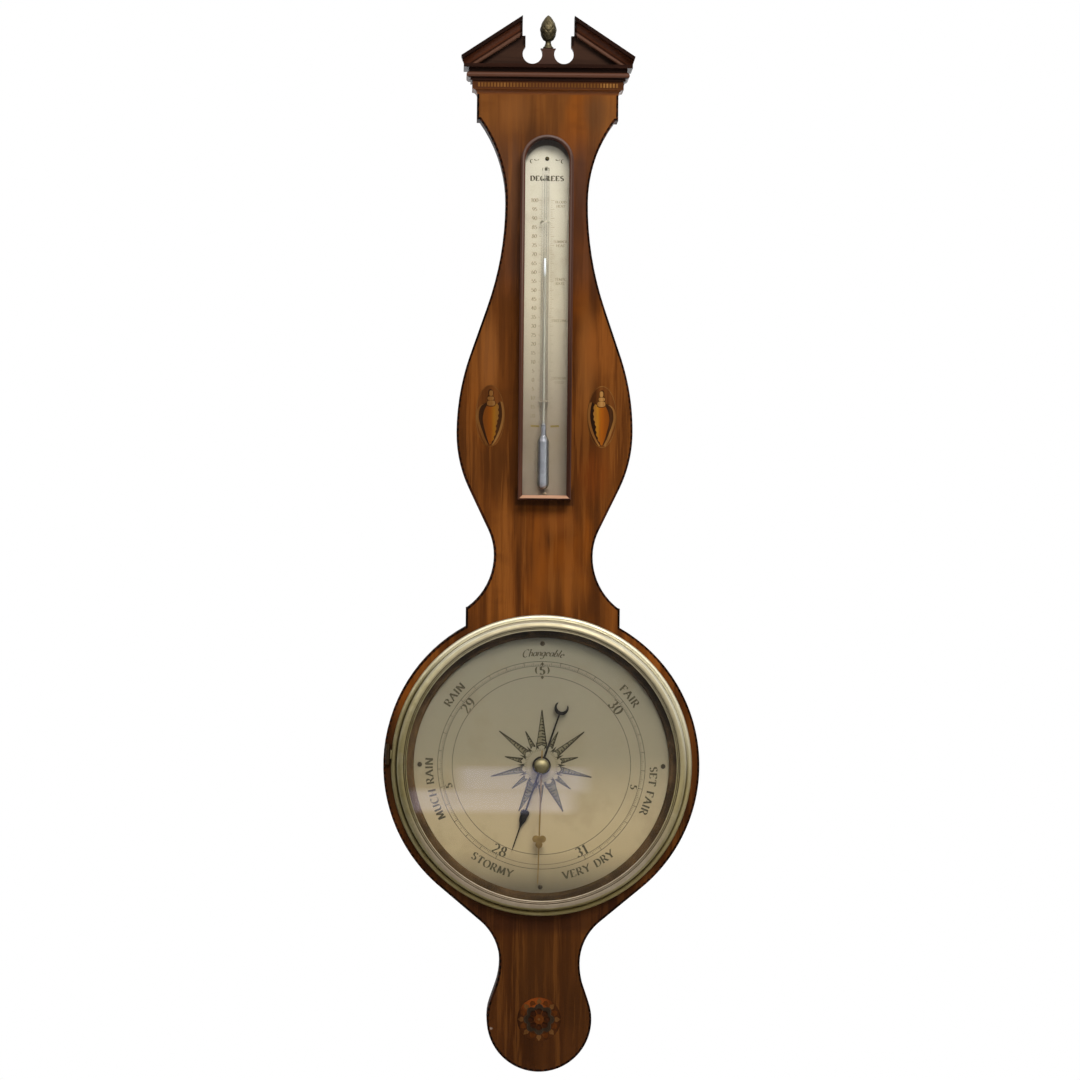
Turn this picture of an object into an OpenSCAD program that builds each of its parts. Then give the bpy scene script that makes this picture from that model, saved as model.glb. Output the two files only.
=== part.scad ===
// Banjo (wheel) barometer with a broken pediment, a boxed thermometer and a siphon tube movement.
// The origin is the middle of the hanging hole on the wall side. +Z is up and the front faces -Y.

/* [Case outline] */
// Height of the hanging hole above the cornice's lower edge
hang_above = 15; // [7:0.5:17]
// Half-width of the square head
head_half = 65; // [60:0.5:68]
// Height of the square head below the cornice
head_h = 23.3; // [19:0.1:29]
// Half-width of the upper waist
waist_half = 37.8; // [36:0.1:42]
// Height of the upper waist
waist_z = 518.2; // [512:0.1:524]
// Radius of the curve from the waist up to the head
waist_upper_r = 128.8; // [110:0.1:150]
// Radius of the curve from the waist down to the bulge
waist_lower_r = 299; // [260:1:300]
// Half-width of the bulge below the thermometer
bulge_half = 81; // [76:0.1:86]
// Height of the bulge
bulge_z = 306.6; // [300:0.1:312]
// Radius of the upper side of the bulge
bulge_upper_r = 216; // [180:1:218]
// Radius of the lower side of the bulge
bulge_lower_r = 119.6; // [100:0.1:121]
// Half-width of the neck above the dial
neck_half = 45.3; // [40:0.1:50]
// Height of the neck above the dial
neck_z = 192.6; // [188:0.1:197]
// Radius of the upper side of the neck
neck_upper_r = 55.2; // [48:0.1:56]
// Radius of the lower side of the neck
neck_lower_r = 59.3; // [54:0.1:64]
// Half-width of the shoulders above the dial
shoulder_half = 70.8; // [69.7:0.1:74]
// Height of the shoulder blocks above the round body
shoulder_h = 17.6; // [15:0.1:21]
// Radius of the round body
body_r = 145.5; // [144:0.1:147]
// Half-width of the lower neck
foot_neck_half = 36.9; // [36:0.1:40]
// Depth of the lower neck below the round body
foot_neck_below = 36.4; // [32.5:0.1:40.5]
// Radius of the upper side of the lower neck
foot_neck_upper_r = 49.7; // [44:0.1:52]
// Radius of the lower side of the lower neck
foot_neck_lower_r = 66; // [56:0.1:68]
// Radius of the round foot
foot_r = 48.2; // [46:0.1:50]
// Depth of the foot's centre below the lower neck
foot_below = 51.8; // [49:0.1:56]

/* [Case depth] */
// Stand-off from the wall, the thickness of the hanging plate
stand_off = 3; // [2.8:0.1:5]
// Depth of the carcass
carcass_depth = 44; // [42:0.5:50]
// Thickness of the front veneer
veneer_t = 1.2; // [0.8:0.1:1.6]
// Thickness of the front board before the tube channel
front_board_t = 9; // [7:0.5:11]
// Half-width of the tube channel
channel_half = 28; // [27.5:0.1:29]
// Depth of the tube channel's lower end below the foot's centre
channel_below = 24.3; // [22:0.1:28]
// Width of the edge stringing
stringing_w = 2; // [1:0.1:2.4]

/* [Pediment] */
// Height of the cornice's lower edge above the tube channel
cornice_above = 17; // [14:0.1:20]
// Radius of the hollow under the cornice
bed_r = 4.6; // [3.5:0.1:5.5]
// Height of the inlaid fascia
fascia_h = 7.7; // [6:0.1:9]
// Step out above the fascia
soffit_w = 1.6; // [1:0.1:2.2]
// Height of the fillet above the fascia
fillet_h = 2.4; // [1.5:0.1:3]
// Radius of the cornice's bead
torus_r = 2.8; // [2.2:0.1:3.2]
// Height of the groove above the bead
groove_h = 3.7; // [2.5:0.1:4.5]
// Height of the top fillet
crown_h = 3.3; // [2.5:0.1:4.5]
// How far the top fillet stands out from the head
cornice_out = 12.6; // [11.5:0.1:13.5]
// Pitch of the inlaid blocks
block_pitch = 2.95; // [2.8:0.05:4]
// Width of an inlaid block
block_w = 1.75; // [1.4:0.05:2]
// Height of an inlaid block
block_h = 3.9; // [3:0.1:4.5]
// Depth of an inlaid block
block_t = 1.2; // [0.8:0.1:1.6]
// Half-width over the tips of the raking mouldings
rake_tip_half = 80; // [79:0.1:82]
// Height of the raking tips above the cornice
rake_tip_rise = 7.2; // [5:0.1:9.5]
// Slope of the raking mouldings, in degrees
rake_slope = 33.4; // [30:0.1:36]
// Half-width of the gap between the raking mouldings
rake_gap_half = 23.8; // [23:0.1:26]
// How far the raking mouldings stand out from the front
rake_out = 15; // [14:0.1:17]
// Thickness of the raking mouldings
rake_t = 14.6; // [14:0.1:16]
// Thickness of the raking top fillet
rake_fillet_t = 3.2; // [2.5:0.1:4]
// Radius of the hollow in the raking mouldings
rake_hollow_r = 7.6; // [6.5:0.1:7.7]
// Radius of the bead on the raking mouldings
rake_bead_r = 1.9; // [1.4:0.1:1.9]
// Thickness of the raking cover over the tympanum board
rake_cover_t = 4; // [3:0.1:5]
// Thickness of the tympanum board
tympanum_t = 12; // [11:0.1:14]
// Half-length of the tympanum board
tympanum_half = 70; // [66:0.5:74]
// Half-width between the tympanum's inner edges
tympanum_gap_half = 21; // [19:0.1:22]
// Radius of the round notches beside the plinth
notch_r = 9; // [8:0.1:9]
// Distance of the notches from the middle
notch_x = 14.5; // [14.2:0.1:15.5]
// Height of the notches' centres above the cornice
notch_rise = 10.1; // [9.7:0.1:12.7]
// Half-width of the finial's plinth
plinth_half = 7.2; // [6.6:0.1:8]
// Height of the plinth's top above the cornice
plinth_rise = 15.3; // [13.7:0.1:17.7]
// Height of the finial above the plinth
finial_h = 31.1; // [28:0.1:34]
// Greatest radius of the finial
finial_r = 7.7; // [7:0.1:8]
// Radius of the finial's neck
finial_neck_r = 2.6; // [2.3:0.1:3]
// Radius of the finial's foot
finial_foot_r = 4.8; // [4:0.1:5.2]
// Radius of the finial's spigot
spigot_r = 2; // [1.6:0.1:2.2]
// Length of the finial's spigot
spigot_l = 9; // [6:0.5:10]

/* [Inlays] */
// Half-width of a shell oval
oval_half_w = 13.5; // [12:0.1:15]
// Half-height of a shell oval
oval_half_h = 28.5; // [26:0.1:30]
// Distance of the ovals from the middle
oval_x = 51.4; // [50:0.1:54]
// How far both ovals sit to the right
oval_shift = 1.2; // [0:0.1:2]
// Height of the ovals
oval_z = 321; // [318:0.5:326]
// Width of a shell figure
shell_w = 21; // [18:0.1:22]
// Length of a shell figure's body
shell_l = 38; // [34:0.1:38.5]
// Radius of a shell figure's first whorl
whorl_r = 3.6; // [3:0.1:4]
// Radius of the flower roundel
flower_r = 20; // [18:0.1:22]
// Number of petals in the flower
petals = 8; // [6:1:10]
// Length of a petal
petal_l = 11; // [9:0.1:12]
// Width of a petal
petal_w = 6; // [5:0.1:6.5]
// Radius of the flower's eye
flower_eye_r = 3.6; // [3:0.1:4]

/* [Thermometer] */
// Half-width of the thermometer box
box_half = 24.4; // [23.6:0.1:26]
// Depth of the top of the box below the cornice
box_below = 37.9; // [33:0.1:43]
// Height of the bottom of the box
box_bottom = 244.1; // [240:0.1:246]
// How far the box stands out from the front
box_out = 17; // [16:0.1:19]
// Radius of the box's outer edge
box_edge_r = 2; // [1.6:0.1:2.4]
// Wall of the box
box_wall = 3.4; // [3.2:0.1:4]
// Width of the box's front lip beyond the wall
box_lip = 0.8; // [0.6:0.1:1.6]
// Thickness of the lip
box_lip_t = 2.5; // [2.4:0.1:3]
// Width of the bevel that slopes in to the box's opening
box_bevel_w = 2.9; // [2:0.1:3]
// Depth of that bevel
box_bevel_t = 1.7; // [1.2:0.1:1.7]
// Thickness of the thermometer's glass
box_glass_t = 1.5; // [1.2:0.1:1.8]
// Thickness of the scale plate
scale_t = 1.2; // [1:0.1:1.5]
// How far the thermometer's stem sits to the right
stem_x = -1.3; // [-1.6:0.1:1.6]
// Radius of the thermometer's stem
stem_r = 3.4; // [3:0.1:3.8]
// Radius of the thermometer's bulb
bulb_r = 5.5; // [5:0.1:5.6]
// Height of the bulb's lower end
bulb_z = 253.8; // [252:0.1:256]
// Length of the bulb
bulb_l = 50.4; // [46:0.1:54]
// Height of the bulb's shoulder
bulb_cone_l = 7; // [5:0.1:9]
// Length of the neck above the bulb
bulb_neck_l = 9; // [7:0.1:11]
// Radius of the neck above the bulb
bulb_neck_r = 3; // [2.8:0.1:3.2]
// Radius of the mercury in the neck
neck_fill_r = 2; // [1.6:0.1:2.2]
// Depth of the top of the stem below the top of the box
stem_below = 30.1; // [27:0.1:39]
// Wall of the bulb
bulb_wall = 0.6; // [0.5:0.1:0.8]
// Radius of the stem's bore
capillary_r = 1.1; // [0.8:0.05:1.2]
// Height of the thermometer's mercury
column_z = 466; // [330:1:530]
// Height of the lower clip above the bulb
clip_above = 30; // [20:1:40]
// Depth of the upper clip below the top of the stem
clip_below = 50; // [40:1:60]
// Height of a stem clip
clip_h = 1.4; // [1:0.1:3]
// Thickness of a stem clip
clip_t = 0.6; // [0.5:0.05:0.8]
// Length of a stem clip's feet
clip_foot = 2.4; // [2:0.1:4]
// Depth of the scale's upper screw below the top of the box
scale_screw_below = 21.1; // [17:0.1:23]
// Radius of a scale screw's head
scale_screw_r = 2; // [1.6:0.1:2.2]

/* [Dial and bezel] */
// Radius of the dial plate
dial_r = 127; // [125:0.1:127]
// Thickness of the dial plate
dial_t = 2; // [1.5:0.1:2.5]
// Radius of the dial that shows inside the slip ring
sight_r = 117.5; // [117:0.1:119]
// Radius of the slip ring's front edge
slip_front_r = 120.6; // [120:0.1:122]
// Height of the slip ring
slip_h = 5; // [4:0.1:6]
// Radius of the circle of dial screws
dial_screw_pcr = 112; // [109:0.5:113]
// Radius of a dial screw's head
dial_screw_r = 2.2; // [1.8:0.1:2.5]
// Outer radius of the bezel
bezel_r = 138.5; // [138:0.1:139]
// Radius inside the bezel's rebate
rebate_r = 128.3; // [128:0.1:128.8]
// Radius of the bezel's sight lip
lip_r = 124; // [123.5:0.1:124.3]
// Width of the bezel's outer flange
flange_w = 5.3; // [4.9:0.1:5.5]
// Height of the bezel's outer flange
flange_h = 4.3; // [3.8:0.1:4.8]
// Height of the glass above the case front
glass_h = 10; // [9.6:0.1:11]
// Thickness of the dial glass
glass_t = 2; // [1.8:0.1:2.2]
// Radius of the bezel's roll
roll_r = 5.2; // [5:0.1:5.3]
// Thickness of the bezel's lip before the glass
lip_t = 0.7; // [0.5:0.1:1]
// Radius of the two fine reeds inside the roll
reed_r = 0.65; // [0.5:0.05:0.7]
// Width of the ring that holds the glass
retainer_w = 4; // [3:0.1:5]
// Height of the ring that holds the glass
retainer_h = 1.5; // [1.2:0.1:1.6]
// Height of the bezel hinge above the dial centre
hinge_z = 9; // [6:0.5:12]
// Radius of the hinge barrels on the bezel
barrel_r = 2.2; // [2:0.05:2.3]
// Radius of the bezel's hinge pin
hinge_pin_r = 0.9; // [0.8:0.05:1]
// Length of the bezel's hinge barrel
lug_l = 8; // [6:0.5:10]
// Length of each case hinge barrel
case_lug_l = 5; // [4:0.5:6]
// Width of the hinge leaf
leaf_w = 4.4; // [4:0.1:4.6]

/* [Hands] */
// Length of the indicator hand to its tip
hand_l = 84; // [78:0.5:88]
// Direction of the indicator hand, in degrees clockwise from the top
hand_angle = 198.7; // [190:0.1:210]
// Distance of the leaf on the indicator hand
leaf_l = 51; // [46:0.5:56]
// Distance of the crescent on the indicator hand
crescent_l = 55.7; // [52:0.1:60]
// Radius of the crescent
crescent_r = 6.5; // [5.5:0.1:7.5]
// Width of the indicator hand at its hub
hand_w = 2.2; // [1.8:0.1:2.6]
// Radius of the indicator hand's hub
hub_r = 4; // [3.4:0.1:5]
// Thickness of both hands
hand_t = 0.8; // [0.6:0.05:1]
// Height of the indicator hand above the dial
hand_lift = 3.8; // [3.4:0.1:4.4]
// Length of the setting hand
setter_l = 110; // [100:0.5:113]
// Direction of the setting hand, in degrees clockwise from the top
setter_angle = 181.4; // [170:0.1:195]
// Length of the setting hand's tail
setter_tail = 14; // [8:0.5:20]
// Distance of the trefoil on the setting hand
trefoil_l = 69; // [64:0.5:74]
// Radius of a trefoil leaf
trefoil_r = 3.3; // [2.8:0.1:3.8]
// Gap between the setting hand and the glass
setter_gap = 1.2; // [1:0.1:1.5]
// Radius of the setting knob
knob_r = 7; // [6:0.1:8]
// Height of the setting knob
knob_h = 6.2; // [5:0.1:7]
// Radius of the setting knob's stem
knob_stem_r = 2.45; // [2:0.05:2.8]
// Radius of the setting knob's tail
knob_tail_r = 1.45; // [1.2:0.05:1.6]

/* [Movement] */
// Inches of mercury that one turn of the hand shows
turn_inches = 3.5; // [3.4:0.05:3.6]
// Radius of the silk thread
thread_r = 0.25; // [0.2:0.01:0.3]
// Depth of the pulley's groove from the thread's middle to the rim
groove_d = 1.4; // [1:0.1:1.6]
// Thickness of the pulley
pulley_t = 4; // [3.2:0.1:5]
// Radius of the hand's arbor
arbor_r = 1; // [0.8:0.05:1.2]
// Distance of the thread plane from the case's back
thread_depth = 21; // [20:0.1:22]
// Radius of the hole behind the dial for the movement
movement_r = 30; // [29:0.5:34]
// Distance of the bridge pillars from the arbor
pillar_z = 24; // [22:0.1:25]
// Radius of a bridge pillar
pillar_r = 3; // [2.6:0.1:3.4]
// Half-width of the bridge bar
bridge_half = 4.5; // [4:0.1:5]
// Thickness of the bridge bar
bridge_t = 3; // [2:0.1:3.5]
// Distance of the bridge bar from the case's back
bridge_depth = 11; // [10:0.1:12]
// Radius of the arbor's bush in the dial
bush_r = 4; // [3.5:0.1:5]
// Radius of a bridge screw's shank
bridge_screw_r = 1.3; // [1:0.05:1.5]

/* [Siphon tube] */
// Outer radius of the siphon tube
tube_r = 5; // [4.8:0.1:5.2]
// Inner radius of the siphon tube
bore_r = 3.5; // [3.4:0.1:3.7]
// Distance of the long limb from the middle
long_x = 21; // [20.5:0.1:21.5]
// Height of the long limb's closed top
long_top = 597; // [590:0.5:604]
// Room above the tube in its channel
tube_headroom = 3; // [1:0.5:5]
// Depth of the short limb's open top below the dial centre
short_drop = 36; // [34:0.5:40]
// Room below the bend's centre in the channel
bend_room = 20; // [20:0.5:28]
// Depth of the mercury in the short limb below the dial centre
level_drop = 176; // [172:0.5:180]
// Reading of the barometer, in inches of mercury
reading = 27.93; // [27.9:0.01:28.3]
// Radius of the float
float_r = 3; // [2.6:0.1:3.1]
// Length of the float
float_l = 24; // [20:0.5:30]
// Radius of the counterweight
weight_r = 2; // [1.6:0.1:2.4]
// Length of the counterweight
weight_l = 18; // [14:0.5:24]
// Depth of the counterweight's top below the dial centre
weight_drop = 110; // [104:0.5:114]
// Outer radius of the counterweight's guide tube
guide_r = 4; // [3.6:0.1:4.2]
// Inner radius of the counterweight's guide tube
guide_bore_r = 3; // [2.7:0.1:3.2]
// Room below the counterweight in its guide tube
guide_room = 12; // [8:0.5:22]
// Depth of the top cradle below the tube's top
cradle_below = 41; // [30:1:50]
// Height of the middle cradle
cradle_mid_z = 300; // [260:1:340]
// Height of the lower cradle
cradle_low_z = 60; // [50:1:80]
// Depth of the upper twin cradle below the dial centre
twin_high_drop = 62; // [58:1:70]
// Depth of the lower twin cradle below the dial centre
twin_low_drop = 126; // [118:1:130]
// Height of a tube cradle
cradle_h = 14; // [10:0.5:18]
// Thickness of a tube strap
strap_t = 0.8; // [0.6:0.1:1]
// Height of a tube strap
strap_h = 8; // [6:0.5:10]
// Radius of a strap screw's head
strap_screw_r = 1.5; // [1.2:0.1:1.6]

/* [Back] */
// Thickness of the back door
door_t = 6; // [5:0.5:7]
// How far the door overlaps the tube channel at each edge
door_lap = 4; // [3:0.1:4.4]
// Radius of the door hinge knuckles
knuckle_r = 1.9; // [1.7:0.05:2]
// Radius of the door hinge pins
door_pin_r = 0.8; // [0.7:0.05:0.9]
// Height of the door's top hinge
hinge_high_z = 360; // [340:1:420]
// Height of the door's middle hinge
hinge_mid_z = 100; // [80:1:140]
// Depth of the door's low hinge below the dial centre
hinge_low_drop = 110; // [100:1:140]
// Length of a door hinge
door_hinge_l = 36; // [30:1:44]
// Width of a door hinge leaf
door_leaf_w = 11; // [9:0.1:12]
// Thickness of a door hinge leaf
door_leaf_t = 1.2; // [1:0.1:1.4]
// Length of the turn button
button_l = 24; // [22:0.5:28]
// Width of the turn button
button_w = 9; // [8:0.1:10]
// Thickness of the turn button
button_t = 1.6; // [1.2:0.1:1.6]
// Height of the turn button above the dial centre
button_z = 300; // [290:1:320]
// Radius of the hanging hole
hang_r = 4; // [3.5:0.05:5]
// Half-width of the hanging plate
hang_half = 15; // [14:0.5:18]
// Height of the hanging plate above its hole
hang_rise = 10; // [8:0.5:11]
// Length of the hanging plate below its hole
hang_fall = 24; // [23:0.5:25]
// Radius of a hanging screw's head
hang_screw_r = 3.2; // [2.8:0.1:3.4]

/* [Fits] */
// Gap round a turning shaft or pin
running_gap = 0.05; // [0.02:0.01:0.08]
// Gap round a piece that is let in
seat_gap = 0.3; // [0.2:0.05:0.4]
// Gap between an inlay or a glass and its seat
close_gap = 0.1; // [0.05:0.01:0.15]
// Gap between moving bodies
swing_gap = 0.3; // [0.25:0.05:0.5]
// Gap between inlaid pieces
inlay_gap = 0.05; // [0.02:0.01:0.1]
// Furthest that a chord may lie inside a curve of the outline
chord_gap = 0.08; // [0.05:0.01:0.2]

/* [Hidden] */
$fn = 64;
inch = 25.4;
case_back = stand_off;
case_front = stand_off + carcass_depth;
face = case_front + veneer_t;
channel_floor = case_front - front_board_t;
door_front = case_back + door_t;
door_half = channel_half + door_lap;
channel_top = long_top + tube_headroom;
cornice_z = channel_top + cornice_above;
dial_drop = cornice_z + hang_above;
head_z = cornice_z - head_h;
shoulder_z = sqrt(body_r * body_r - shoulder_half * shoulder_half) + shoulder_h;
foot_neck_z = -body_r - foot_neck_below;
foot_z = foot_neck_z - foot_below;
channel_bottom = foot_z - channel_below;
cornice_top = cornice_z + bed_r + fascia_h + fillet_h + 2 * torus_r + groove_h + crown_h;
fascia_z = cornice_z + bed_r + fascia_h / 2;
rake_tip_z = cornice_top + rake_tip_rise;
notch_z = cornice_top + notch_rise;
plinth_z = cornice_top + plinth_rise;
tympanum_back = face - tympanum_t;
finial_depth = face - tympanum_t / 2;
box_front = face + box_out;
box_top = cornice_z - box_below;
box_spring = box_top - box_half;
stem_top = box_top - stem_below;
scale_screw_z = box_top - scale_screw_below;
scale_front = face + scale_t;
stem_depth = scale_front + bulb_r + 0.2;
box_glass_front = box_front - box_lip_t - close_gap;
cavity_half = box_half - box_wall;
opening_half = cavity_half - box_lip;
dial_seat = case_front - dial_t;
dial_front = case_front;
dial_hole_r = dial_r + seat_gap;
bezel_base = face + swing_gap;
glass_back = face + glass_h;
glass_front = glass_back + glass_t;
glass_r = rebate_r - 2 * close_gap;
glass_hole_r = knob_stem_r + running_gap;
setter_front = glass_back - setter_gap;
setter_back = setter_front - hand_t;
hand_back = dial_front + hand_lift;
hand_front = hand_back + hand_t;
hinge_x = -(bezel_r + barrel_r + 0.5);
hinge_depth = bezel_base + barrel_r;
lug_gap = 0.2;
leaf_half_h = lug_l / 2 + lug_gap + case_lug_l;
pitch_r = turn_inches * inch / 4 / PI;
thread_plane = case_back + thread_depth;
bridge_back = case_back + bridge_depth;
bridge_front = bridge_back + bridge_t;
pulley_r = pitch_r + groove_d;
arbor_end = bridge_back;
bend_r = (long_x + pitch_r) / 2;
bend_x = (pitch_r - long_x) / 2;
bend_z = channel_bottom + bend_room;
short_top = -short_drop;
level_z = -level_drop;
long_level_z = level_z + reading * inch;
float_z = level_z + swing_gap;
float_top = float_z + float_l;
weight_top = -weight_drop;
guide_bottom = weight_top - weight_l - guide_room;
thread_start = -2.8;
fill_r = bore_r - running_gap;
weld_gap = 0.02;
cradle_levels = [long_top - cradle_below, cradle_mid_z, cradle_low_z];
twin_levels = [-twin_high_drop, -twin_low_drop];
door_pivot_x = door_half + 1;
door_pivot_depth = case_back - 0.2;
door_hinge_levels = [hinge_high_z, hinge_mid_z, -hinge_low_drop];
button_x = -(door_half + button_l / 2 - 4);
hang_screw_places = [[-9, -9], [9, -9], [-9, -19], [9, -19]];

// Points along an arc, close enough to the curve by the chord gap
function arc(c, r, a, b, n = 0) =
  let (steps = n > 0 ? n : max(2, ceil(abs(b - a) / (2 * acos(1 - chord_gap / r)))))
  [for (i = [0:steps]) let (t = a + (b - a) * i / steps) [c[0] + r * cos(t), c[1] + r * sin(t)]];

function bearing(a, b) = atan2(b[1] - a[1], b[0] - a[0]);

// Angle on a convex curve where a straight run passes to or from the hollow curve beside it
function tangent_lean(a, ra, b, rb) = acos(min(1, (ra + rb) / norm(b - a)));
function leave_angle(a, ra, b, rb) = bearing(a, b) - tangent_lean(a, ra, b, rb);
function meet_angle(a, ra, b, rb) = bearing(a, b) + tangent_lean(a, ra, b, rb);

function flip(points) = [for (i = [len(points) - 1:-1:0]) [-points[i][0], points[i][1]]];
function ellipse(w, h, n = 48) = [for (i = [0:n - 1]) [w * cos(360 * i / n), h * sin(360 * i / n)]];

// Centres of the outline's curves on the right side
foot_c = [0, foot_z];
foot_hollow_c = [foot_neck_half + foot_neck_lower_r, foot_neck_z];
body_hollow_c = [foot_neck_half + foot_neck_upper_r, foot_neck_z];
body_c = [0, 0];
shoulder_hollow_c = [neck_half + neck_lower_r, neck_z];
neck_hollow_c = [neck_half + neck_upper_r, neck_z];
bulge_low_c = [bulge_half - bulge_lower_r, bulge_z];
bulge_high_c = [bulge_half - bulge_upper_r, bulge_z];
waist_low_c = [waist_half + waist_lower_r, waist_z];
waist_high_c = [waist_half + waist_upper_r, waist_z];

// Right half of the outline from the foot up, drawn in by the given inset
function half_outline(inset) =
  let (
    foot_end = leave_angle(foot_c, foot_r, foot_hollow_c, foot_neck_lower_r),
    body_start = meet_angle(body_c, body_r, body_hollow_c, foot_neck_upper_r),
    body_end = acos((shoulder_half - inset) / (body_r - inset)),
    ledge = asin((neck_z - shoulder_z + inset) / (neck_lower_r + inset)),
    bulge_start = meet_angle(bulge_low_c, bulge_lower_r, neck_hollow_c, neck_upper_r),
    bulge_end = leave_angle(bulge_high_c, bulge_upper_r, waist_low_c, waist_lower_r),
    head_ledge = asin((head_z + inset - waist_z) / (waist_upper_r + inset))
  )
  concat(
    arc(foot_c, foot_r - inset, -90, foot_end),
    arc(foot_hollow_c, foot_neck_lower_r + inset, foot_end + 180, 180),
    arc(body_hollow_c, foot_neck_upper_r + inset, 180, body_start + 180),
    arc(body_c, body_r - inset, body_start, body_end),
    [[shoulder_half - inset, shoulder_z - inset]],
    arc(shoulder_hollow_c, neck_lower_r + inset, 180 + ledge, 180),
    arc(neck_hollow_c, neck_upper_r + inset, 180, bulge_start + 180),
    arc(bulge_low_c, bulge_lower_r - inset, bulge_start, 0),
    arc(bulge_high_c, bulge_upper_r - inset, 0, bulge_end),
    arc(waist_low_c, waist_lower_r + inset, bulge_end + 180, 180),
    arc(waist_high_c, waist_upper_r + inset, 180, 180 - head_ledge),
    [[head_half - inset, head_z + inset], [head_half - inset, cornice_top]]
  );

// Neighbouring points that coincide are kept once
function tidy(points) =
  [for (i = [0:len(points) - 1]) if (i == 0 || norm(points[i] - points[i - 1]) > 0.001) points[i]];

module case_outline(inset = 0) {
  right = tidy(half_outline(inset));
  left = flip(right);
  polygon(concat(right, [for (i = [0:len(left) - 2]) left[i]]));
}

// Heights are drawn from the dial centre, and the part hangs from its hole
module hung() { translate([0, 0, -dial_drop]) children(); }

// A flat shape, seen from the front, between two distances from the wall
module slab(from, to) { translate([0, -from, 0]) rotate([90, 0, 0]) linear_extrude(to - from) children(); }

// A shape turned about the dial's axis, drawn as radius and distance from the wall
module turned() { rotate([90, 0, 0]) rotate_extrude($fn = 128) children(); }

// A section drawn as distance from the wall and height, run from left to right
module along_x(from, to) { translate([to, 0, 0]) rotate([90, 0, -90]) linear_extrude(to - from) children(); }

// A section drawn as width and distance from the wall, run upwards
module along_z(from, to) { translate([0, 0, from]) linear_extrude(to - from) mirror([0, 1]) children(); }

// A round post that stands upright
module post(x, depth, from, to, r) { translate([x, -depth, from]) cylinder(h = to - from, r = r); }

// A round spindle that runs from back to front
module spindle(x, z, from, to, r) {
  translate([x, -from, z]) rotate([90, 0, 0]) cylinder(h = to - from, r = r);
}

module arch(half, top, bottom) {
  translate([0, top - half]) circle(half);
  translate([-half, bottom]) square([2 * half, top - half - bottom]);
}

// Two facing arcs that meet at a point at each end
module lens(w, l) {
  r = (l * l / 4 + w * w / 4) / w;
  intersection() {
    translate([r - w / 2, 0]) circle(r);
    translate([w / 2 - r, 0]) circle(r);
  }
}

// CASE

module carcass() {
  color("saddlebrown") hung() difference() {
    slab(case_back, case_front) case_outline();
    slab(door_front - 0.01, channel_floor)
      translate([-channel_half, channel_bottom]) square([2 * channel_half, channel_top - channel_bottom]);
    slab(case_back - 1, door_front) door_shape(seat_gap);
    spindle(0, 0, channel_floor - 1, dial_seat + 1, movement_r);
    spindle(0, 0, dial_seat, case_front + 1, dial_hole_r);
    spindle(0, dial_drop, case_back - 1, case_back + 20, hang_r + 3);
    for (p = hang_screw_places) spindle(p[0], dial_drop + p[1], case_back - 1, case_back + 12, 1.35);
    for (z = door_hinge_levels) {
      door_knuckle_cut(z);
      case_leaf_shape(z, close_gap);
    }
    spindle(button_x, button_z, case_back - 1, case_back + 11, 1.25);
  }
}

module front_veneer() {
  color("sienna") hung() difference() {
    slab(case_front, face) case_outline(stringing_w);
    spindle(0, 0, case_front - 1, face + 1, dial_hole_r);
    slab(case_front - 1, face + 1) oval_pair()
      polygon(ellipse(oval_half_w + close_gap, oval_half_h + close_gap));
    spindle(0, foot_z, case_front - 1, face + 1, flower_r + close_gap);
    slab(case_front - 1, face + 1) hinge_leaf_shape(close_gap);
  }
}

module edge_stringing() {
  color("black") hung() slab(case_front, face) difference() {
    case_outline();
    case_outline(stringing_w);
    hinge_leaf_shape(close_gap);
  }
}

module oval_pair() {
  translate([oval_shift + oval_x, oval_z]) children();
  translate([oval_shift - oval_x, oval_z]) mirror([1, 0]) children();
}

// Half-width of the conch at a share of its length from the top: broad shoulders and a pointed foot
function conch_half(t, w) =
  t < 0.3 ? w * (1 - 0.4 * pow(1 - t / 0.3, 2)) : w * cos(90 * pow((t - 0.3) / 0.7, 1.15));

// A conch seen from its open side: a long body under a spire of whorls
module shell_shape(gap = 0) {
  top = shell_l * 0.31;
  right = [for (i = [0:20]) let (t = i / 20)
    [conch_half(t, shell_w / 2) + (t < 1 ? gap : 0), top + gap - (shell_l + 2 * gap) * t]];
  polygon(tidy(concat(right, [for (i = [19:-1:0]) [-right[i][0], right[i][1]]])));
  for (i = [0:2]) translate([0, top + 4.9 * i])
    polygon(ellipse(whorl_r - 0.8 * i + gap, 3.2 - 0.1 * i + gap));
}

module shell_ovals() {
  color("peru") hung() difference() {
    slab(case_front, face) oval_pair() polygon(ellipse(oval_half_w, oval_half_h));
    slab(case_front - 1, face + 1) oval_pair() shell_shape(inlay_gap);
  }
}

module shell_figures() { color("goldenrod") hung() slab(case_front, face) oval_pair() shell_shape(); }

module petal_ring() {
  for (i = [0:petals - 1]) rotate(360 * i / petals)
    translate([0, flower_eye_r + petal_l / 2 + 0.4]) lens(petal_w, petal_l);
  circle(flower_eye_r);
}

module flower_roundel() {
  color("saddlebrown") hung() difference() {
    spindle(0, foot_z, case_front, face, flower_r);
    slab(case_front - 1, face + 1) translate([0, foot_z]) petal_ring();
  }
}

module flower_petals() {
  color("burlywood") hung() slab(case_front, face) translate([0, foot_z]) petal_ring();
}

// PEDIMENT

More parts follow.
